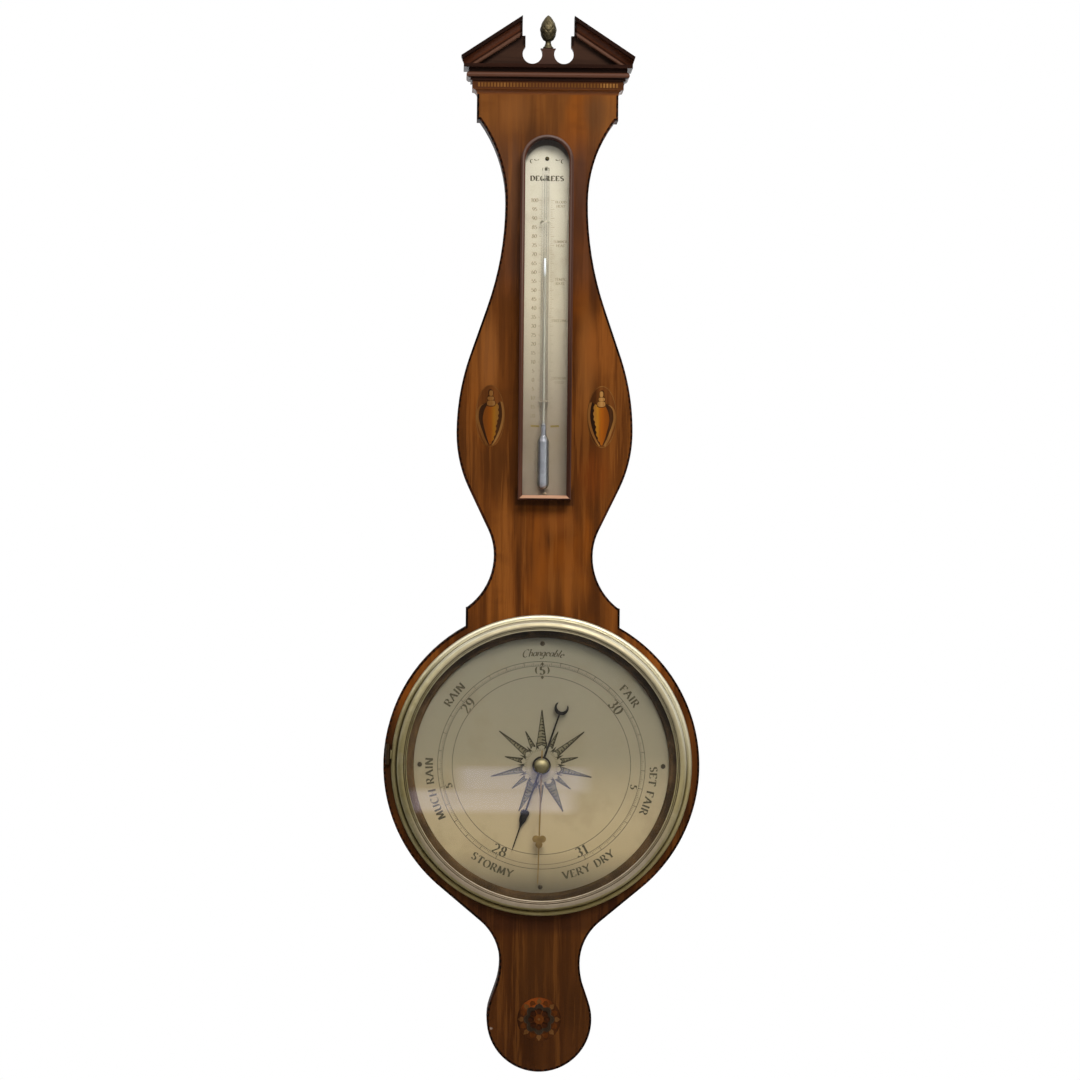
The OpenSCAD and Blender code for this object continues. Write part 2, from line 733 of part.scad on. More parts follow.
// The cornice moulding as distance out from the head and height, from its lower edge up
function cornice_profile() =
  let (
    soffit_z = cornice_z + bed_r + fascia_h,
    bead_c = [bed_r + soffit_w + 1, soffit_z + fillet_h + torus_r],
    groove_z = soffit_z + fillet_h + 2 * torus_r,
    crown_z = groove_z + groove_h
  )
  concat(
    arc([bed_r, cornice_z], bed_r, 180, 90, 8),
    [[bed_r, soffit_z], [bed_r + soffit_w, soffit_z], [bed_r + soffit_w, soffit_z + fillet_h]],
    arc(bead_c, torus_r, -90, 90, 12),
    [[bed_r + soffit_w + 1.6, groove_z], [bed_r + soffit_w + 1.6, crown_z]],
    [[cornice_out, crown_z], [cornice_out, cornice_top]]
  );

module cornice() {
  steps = cornice_profile();
  last = len(steps) - 1;
  side = [for (s = steps) [head_half + s[0], s[1]]];
  color("brown") hung() difference() {
    intersection() {
      along_x(-head_half - 30, head_half + 30)
        polygon(concat(
          [for (s = steps) [face + s[0], s[1]]],
          [[case_back, cornice_top], [case_back, cornice_z]]
        ));
      slab(case_back, face + 30) polygon(concat(side, flip(side)));
    }
    translate([-head_half, -face, cornice_z - 1]) cube([2 * head_half, face, cornice_top - cornice_z + 2]);
    frieze_row(1);
  }
}

// A row of small upright blocks along the fascia, with room before them when they are cut
module frieze_row(room = 0) {
  count = floor((head_half + bed_r - block_w) / block_pitch);
  for (i = [-count:count - 1])
    translate([(i + 0.5) * block_pitch - block_w / 2, -face - bed_r - room, fascia_z - block_h / 2])
      cube([block_w, block_t + room, block_h]);
}

module frieze_blocks() { color("wheat") hung() frieze_row(); }

// Top line of the rake at a distance from the middle, lowered by a thickness square to the slope
function rake_line(x, drop = 0) = rake_tip_z + (rake_tip_half - x) * tan(rake_slope) - drop / cos(rake_slope);

function rake_profile() =
  let (hollow_c = [face + rake_out - 1, -rake_fillet_t - rake_hollow_r])
  concat(
    [[tympanum_back, 0], [face + rake_out, 0], [face + rake_out, -rake_fillet_t]],
    arc(hollow_c, rake_hollow_r, 90, 180, 10),
    arc([hollow_c[0] - rake_hollow_r - 1, hollow_c[1] - rake_bead_r], rake_bead_r, 90, -90, 10),
    [[face, -rake_t], [face, -rake_cover_t], [tympanum_back, -rake_cover_t]]
  );

module rake() {
  color("brown") hung() intersection() {
    translate([rake_tip_half, 0, rake_tip_z]) rotate([0, rake_slope, 0])
      along_x(-1.4 * rake_tip_half, rake_tip_half / 2) polygon(rake_profile());
    slab(0, face + 2 * rake_out) polygon([
      [rake_gap_half, cornice_top], [head_half + cornice_out, cornice_top], [rake_tip_half, rake_tip_z],
      [rake_tip_half, rake_tip_z + rake_t], [rake_gap_half, rake_line(rake_gap_half) + rake_t]
    ]);
  }
}

module right_rake() { rake(); }

module left_rake() { mirror([1, 0, 0]) rake(); }

module notch() {
  translate([notch_x, notch_z]) circle(notch_r);
  translate([plinth_half, notch_z]) square([tympanum_gap_half - plinth_half, plinth_z - notch_z + 1]);
}

module tympanum() {
  right = [
    [tympanum_half, cornice_top], [tympanum_half, rake_line(tympanum_half, rake_cover_t)],
    [rake_gap_half, rake_line(rake_gap_half, rake_cover_t)], [rake_gap_half, rake_line(rake_gap_half, rake_t)],
    [tympanum_gap_half, rake_line(rake_gap_half, rake_t)], [tympanum_gap_half, plinth_z]
  ];
  color("maroon") hung() difference() {
    slab(tympanum_back, face) difference() {
      polygon(concat(right, flip(right)));
      notch();
      mirror([1, 0]) notch();
    }
    post(0, finial_depth, plinth_z - spigot_l - 0.3, plinth_z + 1, spigot_r + running_gap);
  }
}

// A cone finial: foot, neck and an egg-shaped body with a pointed tip
module finial() {
  neck_z = plinth_z + 0.22 * finial_h;
  swell_z = plinth_z + 0.57 * finial_h;
  tip_z = plinth_z + finial_h;
  outline = concat(
    [[0, plinth_z - spigot_l], [spigot_r, plinth_z - spigot_l]],
    [[spigot_r, plinth_z], [finial_foot_r, plinth_z]],
    [[finial_foot_r, plinth_z + 1.6], [finial_foot_r - 1.2, plinth_z + 2.4], [finial_neck_r, neck_z - 1.5]],
    [[finial_neck_r, neck_z], [finial_neck_r + 1, neck_z + 0.6]],
    [for (i = [1:10]) let (t = i / 10) [
      finial_neck_r + 1 + (finial_r - finial_neck_r - 1) * pow(sin(90 * t), 0.6),
      neck_z + 0.6 + (swell_z - neck_z - 0.6) * t
    ]],
    [for (i = [1:11]) let (t = i / 12)
      [finial_r * pow(1 - pow(t, 1.6), 0.75), swell_z + (tip_z - swell_z) * t]],
    [[0.5, tip_z - 0.3], [0, tip_z]]
  );
  color("darkgoldenrod") hung() translate([0, -finial_depth, 0]) rotate_extrude() polygon(outline);
}

// THERMOMETER

// Half section of the box's moulding: straight side and a rounded front edge
function box_edge() =
  concat([[box_half, face]], arc([box_half - box_edge_r, box_front - box_edge_r], box_edge_r, 0, 90, 8));

module thermometer_frame() {
  edge = box_edge();
  foot = [for (p = edge) [p[1], box_bottom + box_half - p[0]]];
  color("sienna") hung() difference() {
    union() {
      intersection() {
        along_z(box_bottom, box_spring) polygon(concat(edge, flip(edge)));
        along_x(-box_half, box_half) polygon(concat(foot, [[box_front, box_spring], [face, box_spring]]));
      }
      translate([0, 0, box_spring]) turned() polygon(concat([[0, face]], edge, [[0, box_front]]));
    }
    slab(face - 1, box_front - box_lip_t) arch(cavity_half, box_top - box_wall, box_bottom + box_wall);
    slab(face - 1, box_front + 1)
      arch(opening_half, box_top - box_wall - box_lip, box_bottom + box_wall + box_lip);
    box_bevel();
  }
}

// The flare cut round the opening, that leaves a moulding sloping in to the glass
module box_bevel() {
  flare = [[opening_half - 1, box_front - box_bevel_t - box_bevel_t / box_bevel_w],
    [opening_half + 2 * box_bevel_w, box_front - box_bevel_t + 2 * box_bevel_t]];
  sill = box_bottom + box_wall + box_lip;
  low = [for (p = flare) [p[1], sill + opening_half - p[0]]];
  intersection() {
    along_z(box_bottom - 1, box_spring) polygon(concat(flare, flip(flare)));
    along_x(-box_half - 1, box_half + 1)
      polygon([low[0], low[1], [low[1][0], box_spring + 1], [low[0][0], box_spring + 1]]);
  }
  translate([0, 0, box_spring]) turned() polygon([[0, flare[0][1]], flare[0], flare[1], [0, flare[1][1]]]);
}

module thermometer_glass() {
  color("lightblue", 0.3) hung() slab(box_glass_front - box_glass_t, box_glass_front)
    arch(cavity_half - close_gap, box_top - box_wall - close_gap, box_bottom + box_wall + close_gap);
}

module thermometer_scale() {
  color("lightgray") hung() difference() {
    slab(face, scale_front)
      arch(cavity_half - close_gap, box_top - box_wall - close_gap, box_bottom + box_wall + close_gap);
    for (z = scale_screw_levels()) spindle(0, z, face - 1, scale_front + 1, 0.95);
  }
}

function scale_screw_levels() = [scale_screw_z, box_bottom + box_wall + scale_screw_r + 0.5];

module scale_screws() {
  color("goldenrod") hung() for (z = scale_screw_levels()) {
    spindle(0, z, face, scale_front + 0.1, 0.9);
    translate([0, 0, z]) turned() polygon(concat([[0, scale_front]], [for (a = [0:15:90])
      [scale_screw_r * cos(a), scale_front + 0.2 + 0.9 * sin(a)]]));
  }
}

// Outline of the thermometer glass, or of the space inside it when a wall is given
function stem_outline(wall, neck, stem, top) =
  let (bulb = bulb_r - wall, low = bulb_z + wall, bulb_top = bulb_z + bulb_l, cone_z = bulb_top - bulb_cone_l)
  concat(
    [for (a = [-90:15:0]) [bulb * cos(a), low + bulb + bulb * sin(a)]],
    [for (i = [0:6]) let (t = i / 6)
      [neck + (bulb - neck) * (1 + cos(180 * t)) / 2, cone_z + bulb_cone_l * t]],
    [[neck, bulb_top + bulb_neck_l], [stem, bulb_top + bulb_neck_l + 1.4], [stem, top], [0, top]]
  );

module thermometer_tube() {
  color("lightcyan", 0.4) hung() translate([stem_x, -stem_depth, 0]) difference() {
    rotate_extrude() polygon(tidy(stem_outline(0, bulb_neck_r, stem_r, stem_top)));
    rotate_extrude() polygon(tidy(stem_outline(bulb_wall, neck_fill_r, capillary_r, stem_top - 6)));
  }
}

module thermometer_mercury() {
  fill = stem_outline(bulb_wall + running_gap, neck_fill_r - running_gap, capillary_r - running_gap, column_z);
  color("silver") hung() translate([stem_x, -stem_depth, 0]) rotate_extrude() polygon(tidy(fill));
}

// Section of a saddle over a round stem, with legs down to feet on a plate
module saddle(r, t, depth, seat, left_foot, right_foot) {
  difference() {
    union() {
      translate([0, depth]) circle(r + t);
      translate([-r - t, seat]) square([2 * (r + t), depth - seat]);
    }
    translate([0, depth]) circle(r);
    translate([-r, seat - 1]) square([2 * r, depth - seat + 1]);
  }
  translate([-r - t - left_foot, seat]) square([left_foot, t]);
  translate([r + t, seat]) square([right_foot, t]);
}

module thermometer_clips() {
  color("goldenrod") hung() for (z = [bulb_z + bulb_l + clip_above, stem_top - clip_below])
    along_z(z, z + clip_h) translate([stem_x, 0])
      saddle(stem_r + running_gap, clip_t, stem_depth, scale_front, clip_foot, clip_foot);
}

// DIAL AND BEZEL

module dial_plate() {
  color("gainsboro") hung() difference() {
    spindle(0, 0, dial_seat, dial_front, dial_r);
    spindle(0, 0, dial_seat - 1, dial_front + 1, bush_r + running_gap);
    dial_screw_places() spindle(0, 0, dial_seat - 1, dial_front + 1, 1.15);
  }
}

module dial_screw_places() {
  for (a = [0:90:270]) translate([dial_screw_pcr * sin(a), 0, dial_screw_pcr * cos(a)]) children();
}

module dial_screws() {
  color("goldenrod") hung() dial_screw_places() {
    spindle(0, 0, dial_seat, dial_front + 0.1, 1.1);
    turned() polygon(concat([[0, dial_front]], [for (a = [0:15:90])
      [dial_screw_r * cos(a), dial_front + 0.2 + 0.9 * sin(a)]]));
  }
}

module dial_slip() {
  color("saddlebrown") hung() turned() polygon(concat(
    [[dial_r, dial_front], [dial_r, dial_front + slip_h], [slip_front_r, dial_front + slip_h]],
    arc([slip_front_r, dial_front + slip_h - (slip_front_r - sight_r)], slip_front_r - sight_r, 90, 180, 6),
    [[sight_r, dial_front]]
  ));
}

// Cast ring: rounded flange, groove, tall roll and two fine reeds on the lip that holds the glass
function bezel_profile() =
  let (
    groove_r = bezel_r - flange_w,
    flange_c = [bezel_r - flange_w / 2, bezel_base + flange_h - flange_w / 2],
    crest = glass_front + close_gap + lip_t + roll_r / 2.7,
    roll_c = [groove_r - roll_r, crest - roll_r],
    lip_front = glass_front + close_gap + lip_t
  )
  concat(
    [[rebate_r, bezel_base], [bezel_r - 0.3, bezel_base], [bezel_r, bezel_base + 0.3]],
    arc(flange_c, flange_w / 2, 0, 150, 10),
    [[groove_r, flange_c[1] + 0.4]],
    arc(roll_c, roll_r, 0, 100, 14),
    [[roll_c[0] + roll_r * cos(100), lip_front]],
    arc([lip_r + 3 * reed_r + 0.1, lip_front], reed_r, 0, 180, 8),
    arc([lip_r + reed_r, lip_front], reed_r, 0, 180, 8),
    [[lip_r, glass_front + close_gap], [rebate_r, glass_front + close_gap]]
  );

module bezel() {
  color("darkgoldenrod") hung() difference() {
    union() {
      turned() polygon(bezel_profile());
      post(hinge_x, hinge_depth, hinge_z - lug_l / 2, hinge_z + lug_l / 2, barrel_r);
      translate([hinge_x, -hinge_depth - 0.6, hinge_z - lug_l / 2])
        cube([barrel_r + 3, barrel_r, lug_l]);
    }
    post(hinge_x, hinge_depth, hinge_z - lug_l, hinge_z + lug_l, hinge_pin_r + running_gap);
  }
}

module bezel_glass() {
  color("lightblue", 0.3) hung() difference() {
    spindle(0, 0, glass_back, glass_front, glass_r);
    spindle(0, 0, glass_back - 1, glass_front + 1, glass_hole_r);
  }
}

module glass_retainer() {
  color("darkgoldenrod") hung() turned() polygon([
    [glass_r - retainer_w, glass_back - close_gap - retainer_h],
    [glass_r, glass_back - close_gap - retainer_h],
    [glass_r, glass_back - close_gap], [glass_r - retainer_w / 2, glass_back - close_gap]
  ]);
}

module hinge_leaf_shape(gap = 0) {
  translate([hinge_x - leaf_w / 2 - gap, hinge_z - leaf_half_h - gap])
    square([leaf_w + 2 * gap, 2 * (leaf_half_h + gap)]);
}

module bezel_hinge_leaf() {
  color("darkgoldenrod") hung() difference() {
    union() {
      slab(case_front, face) hinge_leaf_shape();
      for (s = [-1, 1]) {
        z = hinge_z + s * (leaf_half_h - case_lug_l / 2) - case_lug_l / 2;
        post(hinge_x, hinge_depth, z, z + case_lug_l, barrel_r);
        translate([hinge_x - barrel_r / 2, -hinge_depth, z])
          cube([barrel_r, hinge_depth - face + 0.5, case_lug_l]);
      }
    }
    post(hinge_x, hinge_depth, hinge_z - 2 * leaf_half_h, hinge_z + 2 * leaf_half_h,
      hinge_pin_r + running_gap);
  }
}

module bezel_hinge_pin() {
  color("darkgoldenrod") hung()
    post(hinge_x, hinge_depth, hinge_z - leaf_half_h - 0.4, hinge_z + leaf_half_h + 0.4, hinge_pin_r);
}

// HANDS

// Blued pointer with a leaf near its tip and a crescent at its tail
module indicator_shape() {
  circle(hub_r);
  right = [[hand_w / 3, crescent_r / 2 - crescent_l], [hand_w / 2, 0], [hand_w / 4, hand_l - 6], [0, hand_l]];
  polygon(concat(right, [for (i = [2:-1:0]) [-right[i][0], right[i][1]]]));
  translate([0, leaf_l]) lens(3 * hand_w, 7 * hand_w);
  difference() {
    translate([0, -crescent_l]) circle(crescent_r);
    translate([0, -crescent_l - crescent_r * 0.32]) circle(crescent_r * 0.8);
  }
}

module indicator_hand() {
  color("midnightblue") hung() difference() {
    union() {
      slab(hand_back, hand_front) rotate(-hand_angle) indicator_shape();
      spindle(0, 0, hand_back - 1.4, hand_front + 0.5, hub_r * 0.7);
    }
    spindle(0, 0, hand_back - 3, hand_front + 3, arbor_r + 0.02);
  }
}

// Thin brass pointer with a trefoil
module setting_shape() {
  circle(4);
  right = [[0.6, -setter_tail], [0.9, 0], [0.45, setter_l - 4], [0, setter_l]];
  polygon(concat(right, [for (i = [2:-1:0]) [-right[i][0], right[i][1]]]));
  for (a = [-120, 0, 120])
    translate([0, trefoil_l]) rotate(a) translate([0, trefoil_r * 1.05]) circle(trefoil_r);
}

module setting_hand() {
  color("goldenrod") hung() difference() {
    slab(setter_back, setter_front) rotate(-setter_angle) setting_shape();
    spindle(0, 0, setter_back - 1, setter_front + 1, knob_tail_r + 0.02);
  }
}

module setting_knob() {
  rim = glass_front + running_gap;
  color("goldenrod") hung() turned() polygon(concat(
    [[0, setter_back - 0.6], [knob_tail_r, setter_back - 0.6], [knob_tail_r, setter_front + 0.1]],
    [[knob_stem_r, setter_front + 0.1], [knob_stem_r, rim], [knob_r - 0.6, rim], [knob_r, rim + 0.6]],
    [for (a = [0:15:90]) [knob_r * cos(a), rim + 1.6 + (knob_h - 1.6) * sin(a)]]
  ));
}

module setting_washer() {
  color("goldenrod") hung() difference() {
    spindle(0, 0, setter_front + close_gap, glass_back - close_gap, 4);
    spindle(0, 0, setter_front - 1, glass_back + 1, glass_hole_r);
  }
}

// MOVEMENT

module hand_arbor() { color("slategray") hung() spindle(0, 0, arbor_end, hand_front + 1.4, arbor_r); }

module arbor_bush() {
  color("goldenrod") hung() difference() {
    union() {
      spindle(0, 0, dial_seat - 1.2, dial_front + 0.8, bush_r);
      spindle(0, 0, dial_seat - 1.2, dial_seat, bush_r + 2);
    }
    spindle(0, 0, dial_seat - 3, dial_front + 3, arbor_r + running_gap);
  }
}

module pulley() {
  half = pulley_t / 2;
  floor_r = pitch_r - thread_r - 0.02;
  color("goldenrod") hung() difference() {
    turned() polygon([
      [0, thread_plane - half - 1.5], [3, thread_plane - half - 1.5], [3, thread_plane - half],
      [pulley_r, thread_plane - half], [pulley_r, thread_plane - half + 0.5], [floor_r, thread_plane - 0.5],
      [floor_r, thread_plane + 0.5], [pulley_r, thread_plane + half - 0.5], [pulley_r, thread_plane + half],
      [3, thread_plane + half], [3, thread_plane + half + 1.5], [0, thread_plane + half + 1.5]
    ]);
    spindle(0, 0, thread_plane - 10, thread_plane + 10, arbor_r + 0.02);
  }
}

module pulley_thread() {
  color("ivory") hung() turned() translate([pitch_r, thread_plane]) circle(thread_r, $fn = 16);
}

module bridge_bar() {
  color("goldenrod") hung() difference() {
    slab(bridge_back, bridge_front) {
      translate([-bridge_half, -pillar_z]) square([2 * bridge_half, 2 * pillar_z]);
      for (s = [-1, 1]) translate([0, s * pillar_z]) circle(bridge_half);
    }
    spindle(0, 0, bridge_back - 1, bridge_front + 1, arbor_r + running_gap);
    for (s = [-1, 1])
      spindle(0, s * pillar_z, bridge_back - 1, bridge_front + 1, bridge_screw_r + running_gap);
  }
}

module bridge_pillars() {
  color("goldenrod") hung() for (s = [-1, 1]) difference() {
    union() {
      spindle(0, s * pillar_z, bridge_front, dial_seat, pillar_r);
      spindle(0, s * pillar_z, dial_seat - 2, dial_seat, pillar_r + 1.2);
    }
    spindle(0, s * pillar_z, bridge_front - 1, bridge_front + 8, bridge_screw_r + running_gap);
  }
}

module bridge_screws() {
  color("slategray") hung() for (s = [-1, 1]) {
    spindle(0, s * pillar_z, bridge_back, bridge_front + 7, bridge_screw_r);
    spindle(0, s * pillar_z, bridge_back - 1.4, bridge_back, 2 * bridge_screw_r);
  }
}

// SIPHON TUBE

// Lower half of a ring that joins the two limbs, hollow when an inner radius is given
module lower_bend(r, inner = 0) {
  reach = bend_r + r + 1;
  translate([bend_x, -thread_plane, bend_z]) difference() {
    rotate([90, 0, 0]) rotate_extrude() translate([bend_r, 0]) difference() {
      circle(r);
      if (inner > 0) circle(inner);
    }
    translate([-reach, -reach, -weld_gap]) cube([2 * reach, 2 * reach, reach]);
  }
}

// Wall of the long limb as radius and height: a tube with a domed, closed top
function long_limb_wall() =
  let (dome = [0, long_top - tube_r])
  concat([[bore_r, bend_z], [tube_r, bend_z]], arc(dome, tube_r, 0, 90, 8), arc(dome, bore_r, 90, 0, 8));

module siphon_tube() {
  color("lightcyan", 0.4) hung() {
    translate([-long_x, -thread_plane, 0]) rotate_extrude() polygon(long_limb_wall());
    lower_bend(tube_r, bore_r);
    difference() {
      post(pitch_r, thread_plane, bend_z, short_top, tube_r);
      post(pitch_r, thread_plane, bend_z - 1, short_top + 1, bore_r);
    }
  }
}

module mercury_long() {
  color("silver") hung() {
    post(-long_x, thread_plane, bend_z, long_level_z, fill_r);
    lower_bend(fill_r);
  }
}

module mercury_short() { color("silver") hung() post(pitch_r, thread_plane, bend_z, level_z, fill_r); }

module float_weight() {
  color("dimgray") hung() translate([pitch_r, -thread_plane, 0]) rotate_extrude() polygon([
    [0, float_z], [float_r - 0.6, float_z], [float_r, float_z + 0.8], [float_r, float_top - 3],
    [0.8, float_top - 0.8], [0.8, float_top], [0, float_top]
  ]);
}

module float_thread() {
  color("ivory") hung() post(pitch_r, thread_plane, float_top, thread_start, thread_r);
}

module counterweight() {
  color("dimgray") hung() translate([-pitch_r, -thread_plane, weight_top]) rotate_extrude() polygon([
    [0, -weight_l], [weight_r - 0.5, -weight_l], [weight_r, 0.7 - weight_l], [weight_r, -2.5],
    [0.7, -0.8], [0.7, 0], [0, 0]
  ]);
}

module counter_thread() {
  color("ivory") hung() post(-pitch_r, thread_plane, weight_top, thread_start, thread_r);
}

module counterweight_tube() {
  color("lightcyan", 0.4) hung() difference() {
    post(-pitch_r, thread_plane, guide_bottom, short_top, guide_r);
    post(-pitch_r, thread_plane, guide_bottom + 1.5, short_top + 1, guide_bore_r);
  }
}

// Wooden saddles across the channel, hollowed for the tubes that they carry
module tube_cradles() {
  half = channel_half - close_gap;
  color("burlywood") hung() {
    for (z = cradle_levels) difference() {
      cradle_block(z, -half, 0);
      post(-long_x, thread_plane, z - 1, z + cradle_h + 1, tube_r + close_gap);
      strap_screw_hole(z, long_foot_x());
    }
    for (z = twin_levels) difference() {
      cradle_block(z, -half, half);
      post(-long_x, thread_plane, z - 1, z + cradle_h + 1, tube_r + close_gap);
      post(pitch_r, thread_plane, z - 1, z + cradle_h + 1, tube_r + close_gap);
      post(-pitch_r, thread_plane, z - 1, z + cradle_h + 1, guide_r + close_gap);
      strap_screw_hole(z, long_foot_x());
      strap_screw_hole(z, twin_foot_x());
    }
  }
}

module cradle_block(z, left, right) {
  translate([left, -channel_floor, z]) cube([right - left, channel_floor - thread_plane, cradle_h]);
}

// Sideways places of the strap screws
function long_foot_x() = -long_x + tube_r + strap_t + close_gap + strap_screw_r + 0.1;
function twin_foot_x() = pitch_r + tube_r + strap_t + close_gap + strap_screw_r + 0.6;

module strap_screw_hole(z, x) {
  spindle(x, z + cradle_h / 2, thread_plane - 1, thread_plane + 6.5, 0.85);
}

// Half ring over the back of a tube, drawn as width and distance from the wall
module tube_saddle(x, r) {
  translate([x, thread_plane]) difference() {
    circle(r + close_gap + strap_t);
    circle(r + close_gap);
    translate([-2 * r, 0]) square(4 * r);
  }
}

module strap_foot(from, to) { translate([from, thread_plane - strap_t]) square([to - from, strap_t]); }

module tube_straps() {
  long_edge = -long_x + tube_r + close_gap + strap_t / 2;
  twin_edge = pitch_r + tube_r + close_gap + strap_t / 2;
  color("goldenrod") hung() for (z = concat(cradle_levels, twin_levels)) {
    low = z + (cradle_h - strap_h) / 2;
    difference() {
      along_z(low, low + strap_h) {
        tube_saddle(-long_x, tube_r);
        strap_foot(long_edge, long_foot_x() + strap_screw_r - 0.2);
      }
      spindle(long_foot_x(), z + cradle_h / 2, thread_plane - 2, thread_plane + 1, 0.85);
    }
    if (z < 0) difference() {
      along_z(low, low + strap_h) {
        tube_saddle(pitch_r, tube_r);
        tube_saddle(-pitch_r, guide_r);
        strap_foot(guide_r + close_gap + strap_t / 2 - pitch_r, pitch_r - tube_r - close_gap - strap_t / 2);
        strap_foot(twin_edge, twin_foot_x() + strap_screw_r + 0.6);
      }
      spindle(twin_foot_x(), z + cradle_h / 2, thread_plane - 2, thread_plane + 1, 0.85);
    }
  }
}

module strap_screw(z, x) {
  spindle(x, z + cradle_h / 2, thread_plane - strap_t, thread_plane + 6, 0.8);
  spindle(x, z + cradle_h / 2, thread_plane - strap_t - 0.9, thread_plane - strap_t, strap_screw_r);
}

module strap_screws() {
  color("slategray") hung() {
    for (z = concat(cradle_levels, twin_levels)) strap_screw(z, long_foot_x());
    for (z = twin_levels) strap_screw(z, twin_foot_x());
  }
}

// BACK

module door_shape(gap = 0) {
  translate([-door_half - gap, channel_bottom - door_lap - gap])
    square([2 * (door_half + gap), channel_top - channel_bottom + 2 * (door_lap + gap)]);
}

module back_door() {
  color("burlywood") hung() difference() {
    slab(case_back, door_front) door_shape();
    for (z = door_hinge_levels) {
      door_knuckle_cut(z);
      door_leaf_shape(z, close_gap);
    }
  }
}

// Room in the door and the case round a hinge's knuckles
module door_knuckle_cut(z) {
  post(door_pivot_x, door_pivot_depth, z - door_hinge_l / 2 - 0.5, z + door_hinge_l / 2 + 0.5,
    knuckle_r + 0.3);
}

module door_leaf_shape(z, gap = 0) {
  leaf_x = door_pivot_x - knuckle_r - door_leaf_w;
  translate([leaf_x - gap, -case_back - door_leaf_t - gap, z - door_hinge_l / 2 - gap])
    cube([door_leaf_w + knuckle_r + gap, door_leaf_t + 2 * gap, door_hinge_l + 2 * gap]);
}

module case_leaf_shape(z, gap = 0) {
  translate([door_pivot_x, -case_back - door_leaf_t - gap, z - door_hinge_l / 2 - gap])
    cube([door_leaf_w + knuckle_r + gap, door_leaf_t + 2 * gap, door_hinge_l + 2 * gap]);
}

// One leaf with its share of the knuckles, cut clear of the other leaf's knuckles
module door_hinge_half(z, own, other) {
  difference() {
    union() {
      difference() {
        children();
        door_knuckle_cut(z);
      }
      for (k = own) {
        post(door_pivot_x, door_pivot_depth, z + k[0], z + k[1], knuckle_r);
        intersection() {
          children();
          translate([door_pivot_x - 2 * knuckle_r, -face, z + k[0]]) cube([4 * knuckle_r, face, k[1] - k[0]]);
        }
      }
    }
    post(door_pivot_x, door_pivot_depth, z - door_hinge_l, z + door_hinge_l, door_pin_r + running_gap);
    for (k = other)
      post(door_pivot_x, door_pivot_depth, z + k[0] - 0.1, z + k[1] + 0.1, knuckle_r + 0.25);
  }
}

function outer_knuckles() =
  [[-door_hinge_l / 2, -door_hinge_l / 6], [door_hinge_l / 6, door_hinge_l / 2]];
function middle_knuckle() = [[-door_hinge_l / 6 + 0.2, door_hinge_l / 6 - 0.2]];

module door_hinge_case_leaves() {
  color("goldenrod") hung() for (z = door_hinge_levels)
    door_hinge_half(z, outer_knuckles(), middle_knuckle()) case_leaf_shape(z);
}

module door_hinge_door_leaves() {
  color("goldenrod") hung() for (z = door_hinge_levels)
    door_hinge_half(z, middle_knuckle(), outer_knuckles()) door_leaf_shape(z);
}

module door_hinge_pins() {
  color("slategray") hung() for (z = door_hinge_levels)
    post(door_pivot_x, door_pivot_depth, z - door_hinge_l / 2 - 0.3, z + door_hinge_l / 2 + 0.3, door_pin_r);
}

module turn_button() {
  color("goldenrod") hung() difference() {
    slab(case_back - swing_gap - button_t, case_back - swing_gap) translate([button_x, button_z]) {
      for (s = [-1, 1]) translate([0, s * (button_l - button_w) / 2]) circle(button_w / 2);
      translate([-button_w / 2, -(button_l - button_w) / 2]) square([button_w, button_l - button_w]);
    }
    spindle(button_x, button_z, case_back - 5, case_back + 1, 1.3);
  }
}

module catch_screw() {
  color("slategray") hung() {
    under_head = case_back - swing_gap - button_t - 0.1;
    spindle(button_x, button_z, under_head, case_back + 10, 1.2);
    spindle(button_x, button_z, under_head - 0.8, under_head, 2.8);
  }
}

module hang_plate_shape() {
  translate([-hang_half, dial_drop - hang_fall]) square([2 * hang_half, hang_fall]);
  intersection() {
    translate([0, dial_drop + hang_rise - hang_half]) circle(hang_half);
    translate([-hang_half, dial_drop - hang_half]) square([2 * hang_half, 2 * hang_half]);
  }
}

module hanging_plate() {
  color("goldenrod") hung() difference() {
    slab(0, stand_off) hang_plate_shape();
    spindle(0, dial_drop, -1, stand_off + 1, hang_r);
    for (p = hang_screw_places) {
      spindle(p[0], dial_drop + p[1], -1, stand_off + 1, 1.35);
      translate([p[0], 0, dial_drop + p[1]]) turned()
        polygon([[0, -1], [hang_screw_r + 1.1, -1], [0, hang_screw_r + 0.1]]);
    }
  }
}

module hanging_screws() {
  color("slategray") hung() for (p = hang_screw_places) {
    spindle(p[0], dial_drop + p[1], 1, stand_off + 11, 1.3);
    translate([p[0], 0, dial_drop + p[1]]) turned()
      polygon([[0, 0.05], [hang_screw_r - 0.1, 0.05], [0.6, hang_screw_r - 0.65], [0, hang_screw_r - 0.65]]);
  }
}

carcass();
front_veneer();
edge_stringing();
shell_ovals();
shell_figures();
flower_roundel();
flower_petals();
cornice();
frieze_blocks();
tympanum();
left_rake();
right_rake();
finial();
thermometer_frame();
thermometer_glass();
thermometer_scale();
thermometer_tube();
thermometer_mercury();
thermometer_clips();
scale_screws();
dial_plate();
dial_slip();
dial_screws();
arbor_bush();
bridge_bar();
bridge_pillars();
bridge_screws();
bezel_hinge_leaf();
bezel_hinge_pin();
siphon_tube();
mercury_short();
mercury_long();
counterweight_tube();
tube_cradles();
tube_straps();
strap_screws();
hanging_plate();
hanging_screws();
door_hinge_case_leaves();
door_hinge_pins();
catch_screw();
float_thread();
counter_thread();
bezel();
bezel_glass();
glass_retainer();
setting_knob();
setting_hand();
setting_washer();
hand_arbor();
indicator_hand();
pulley();
pulley_thread();
float_weight();
counterweight();
back_door();
door_hinge_door_leaves();
turn_button();
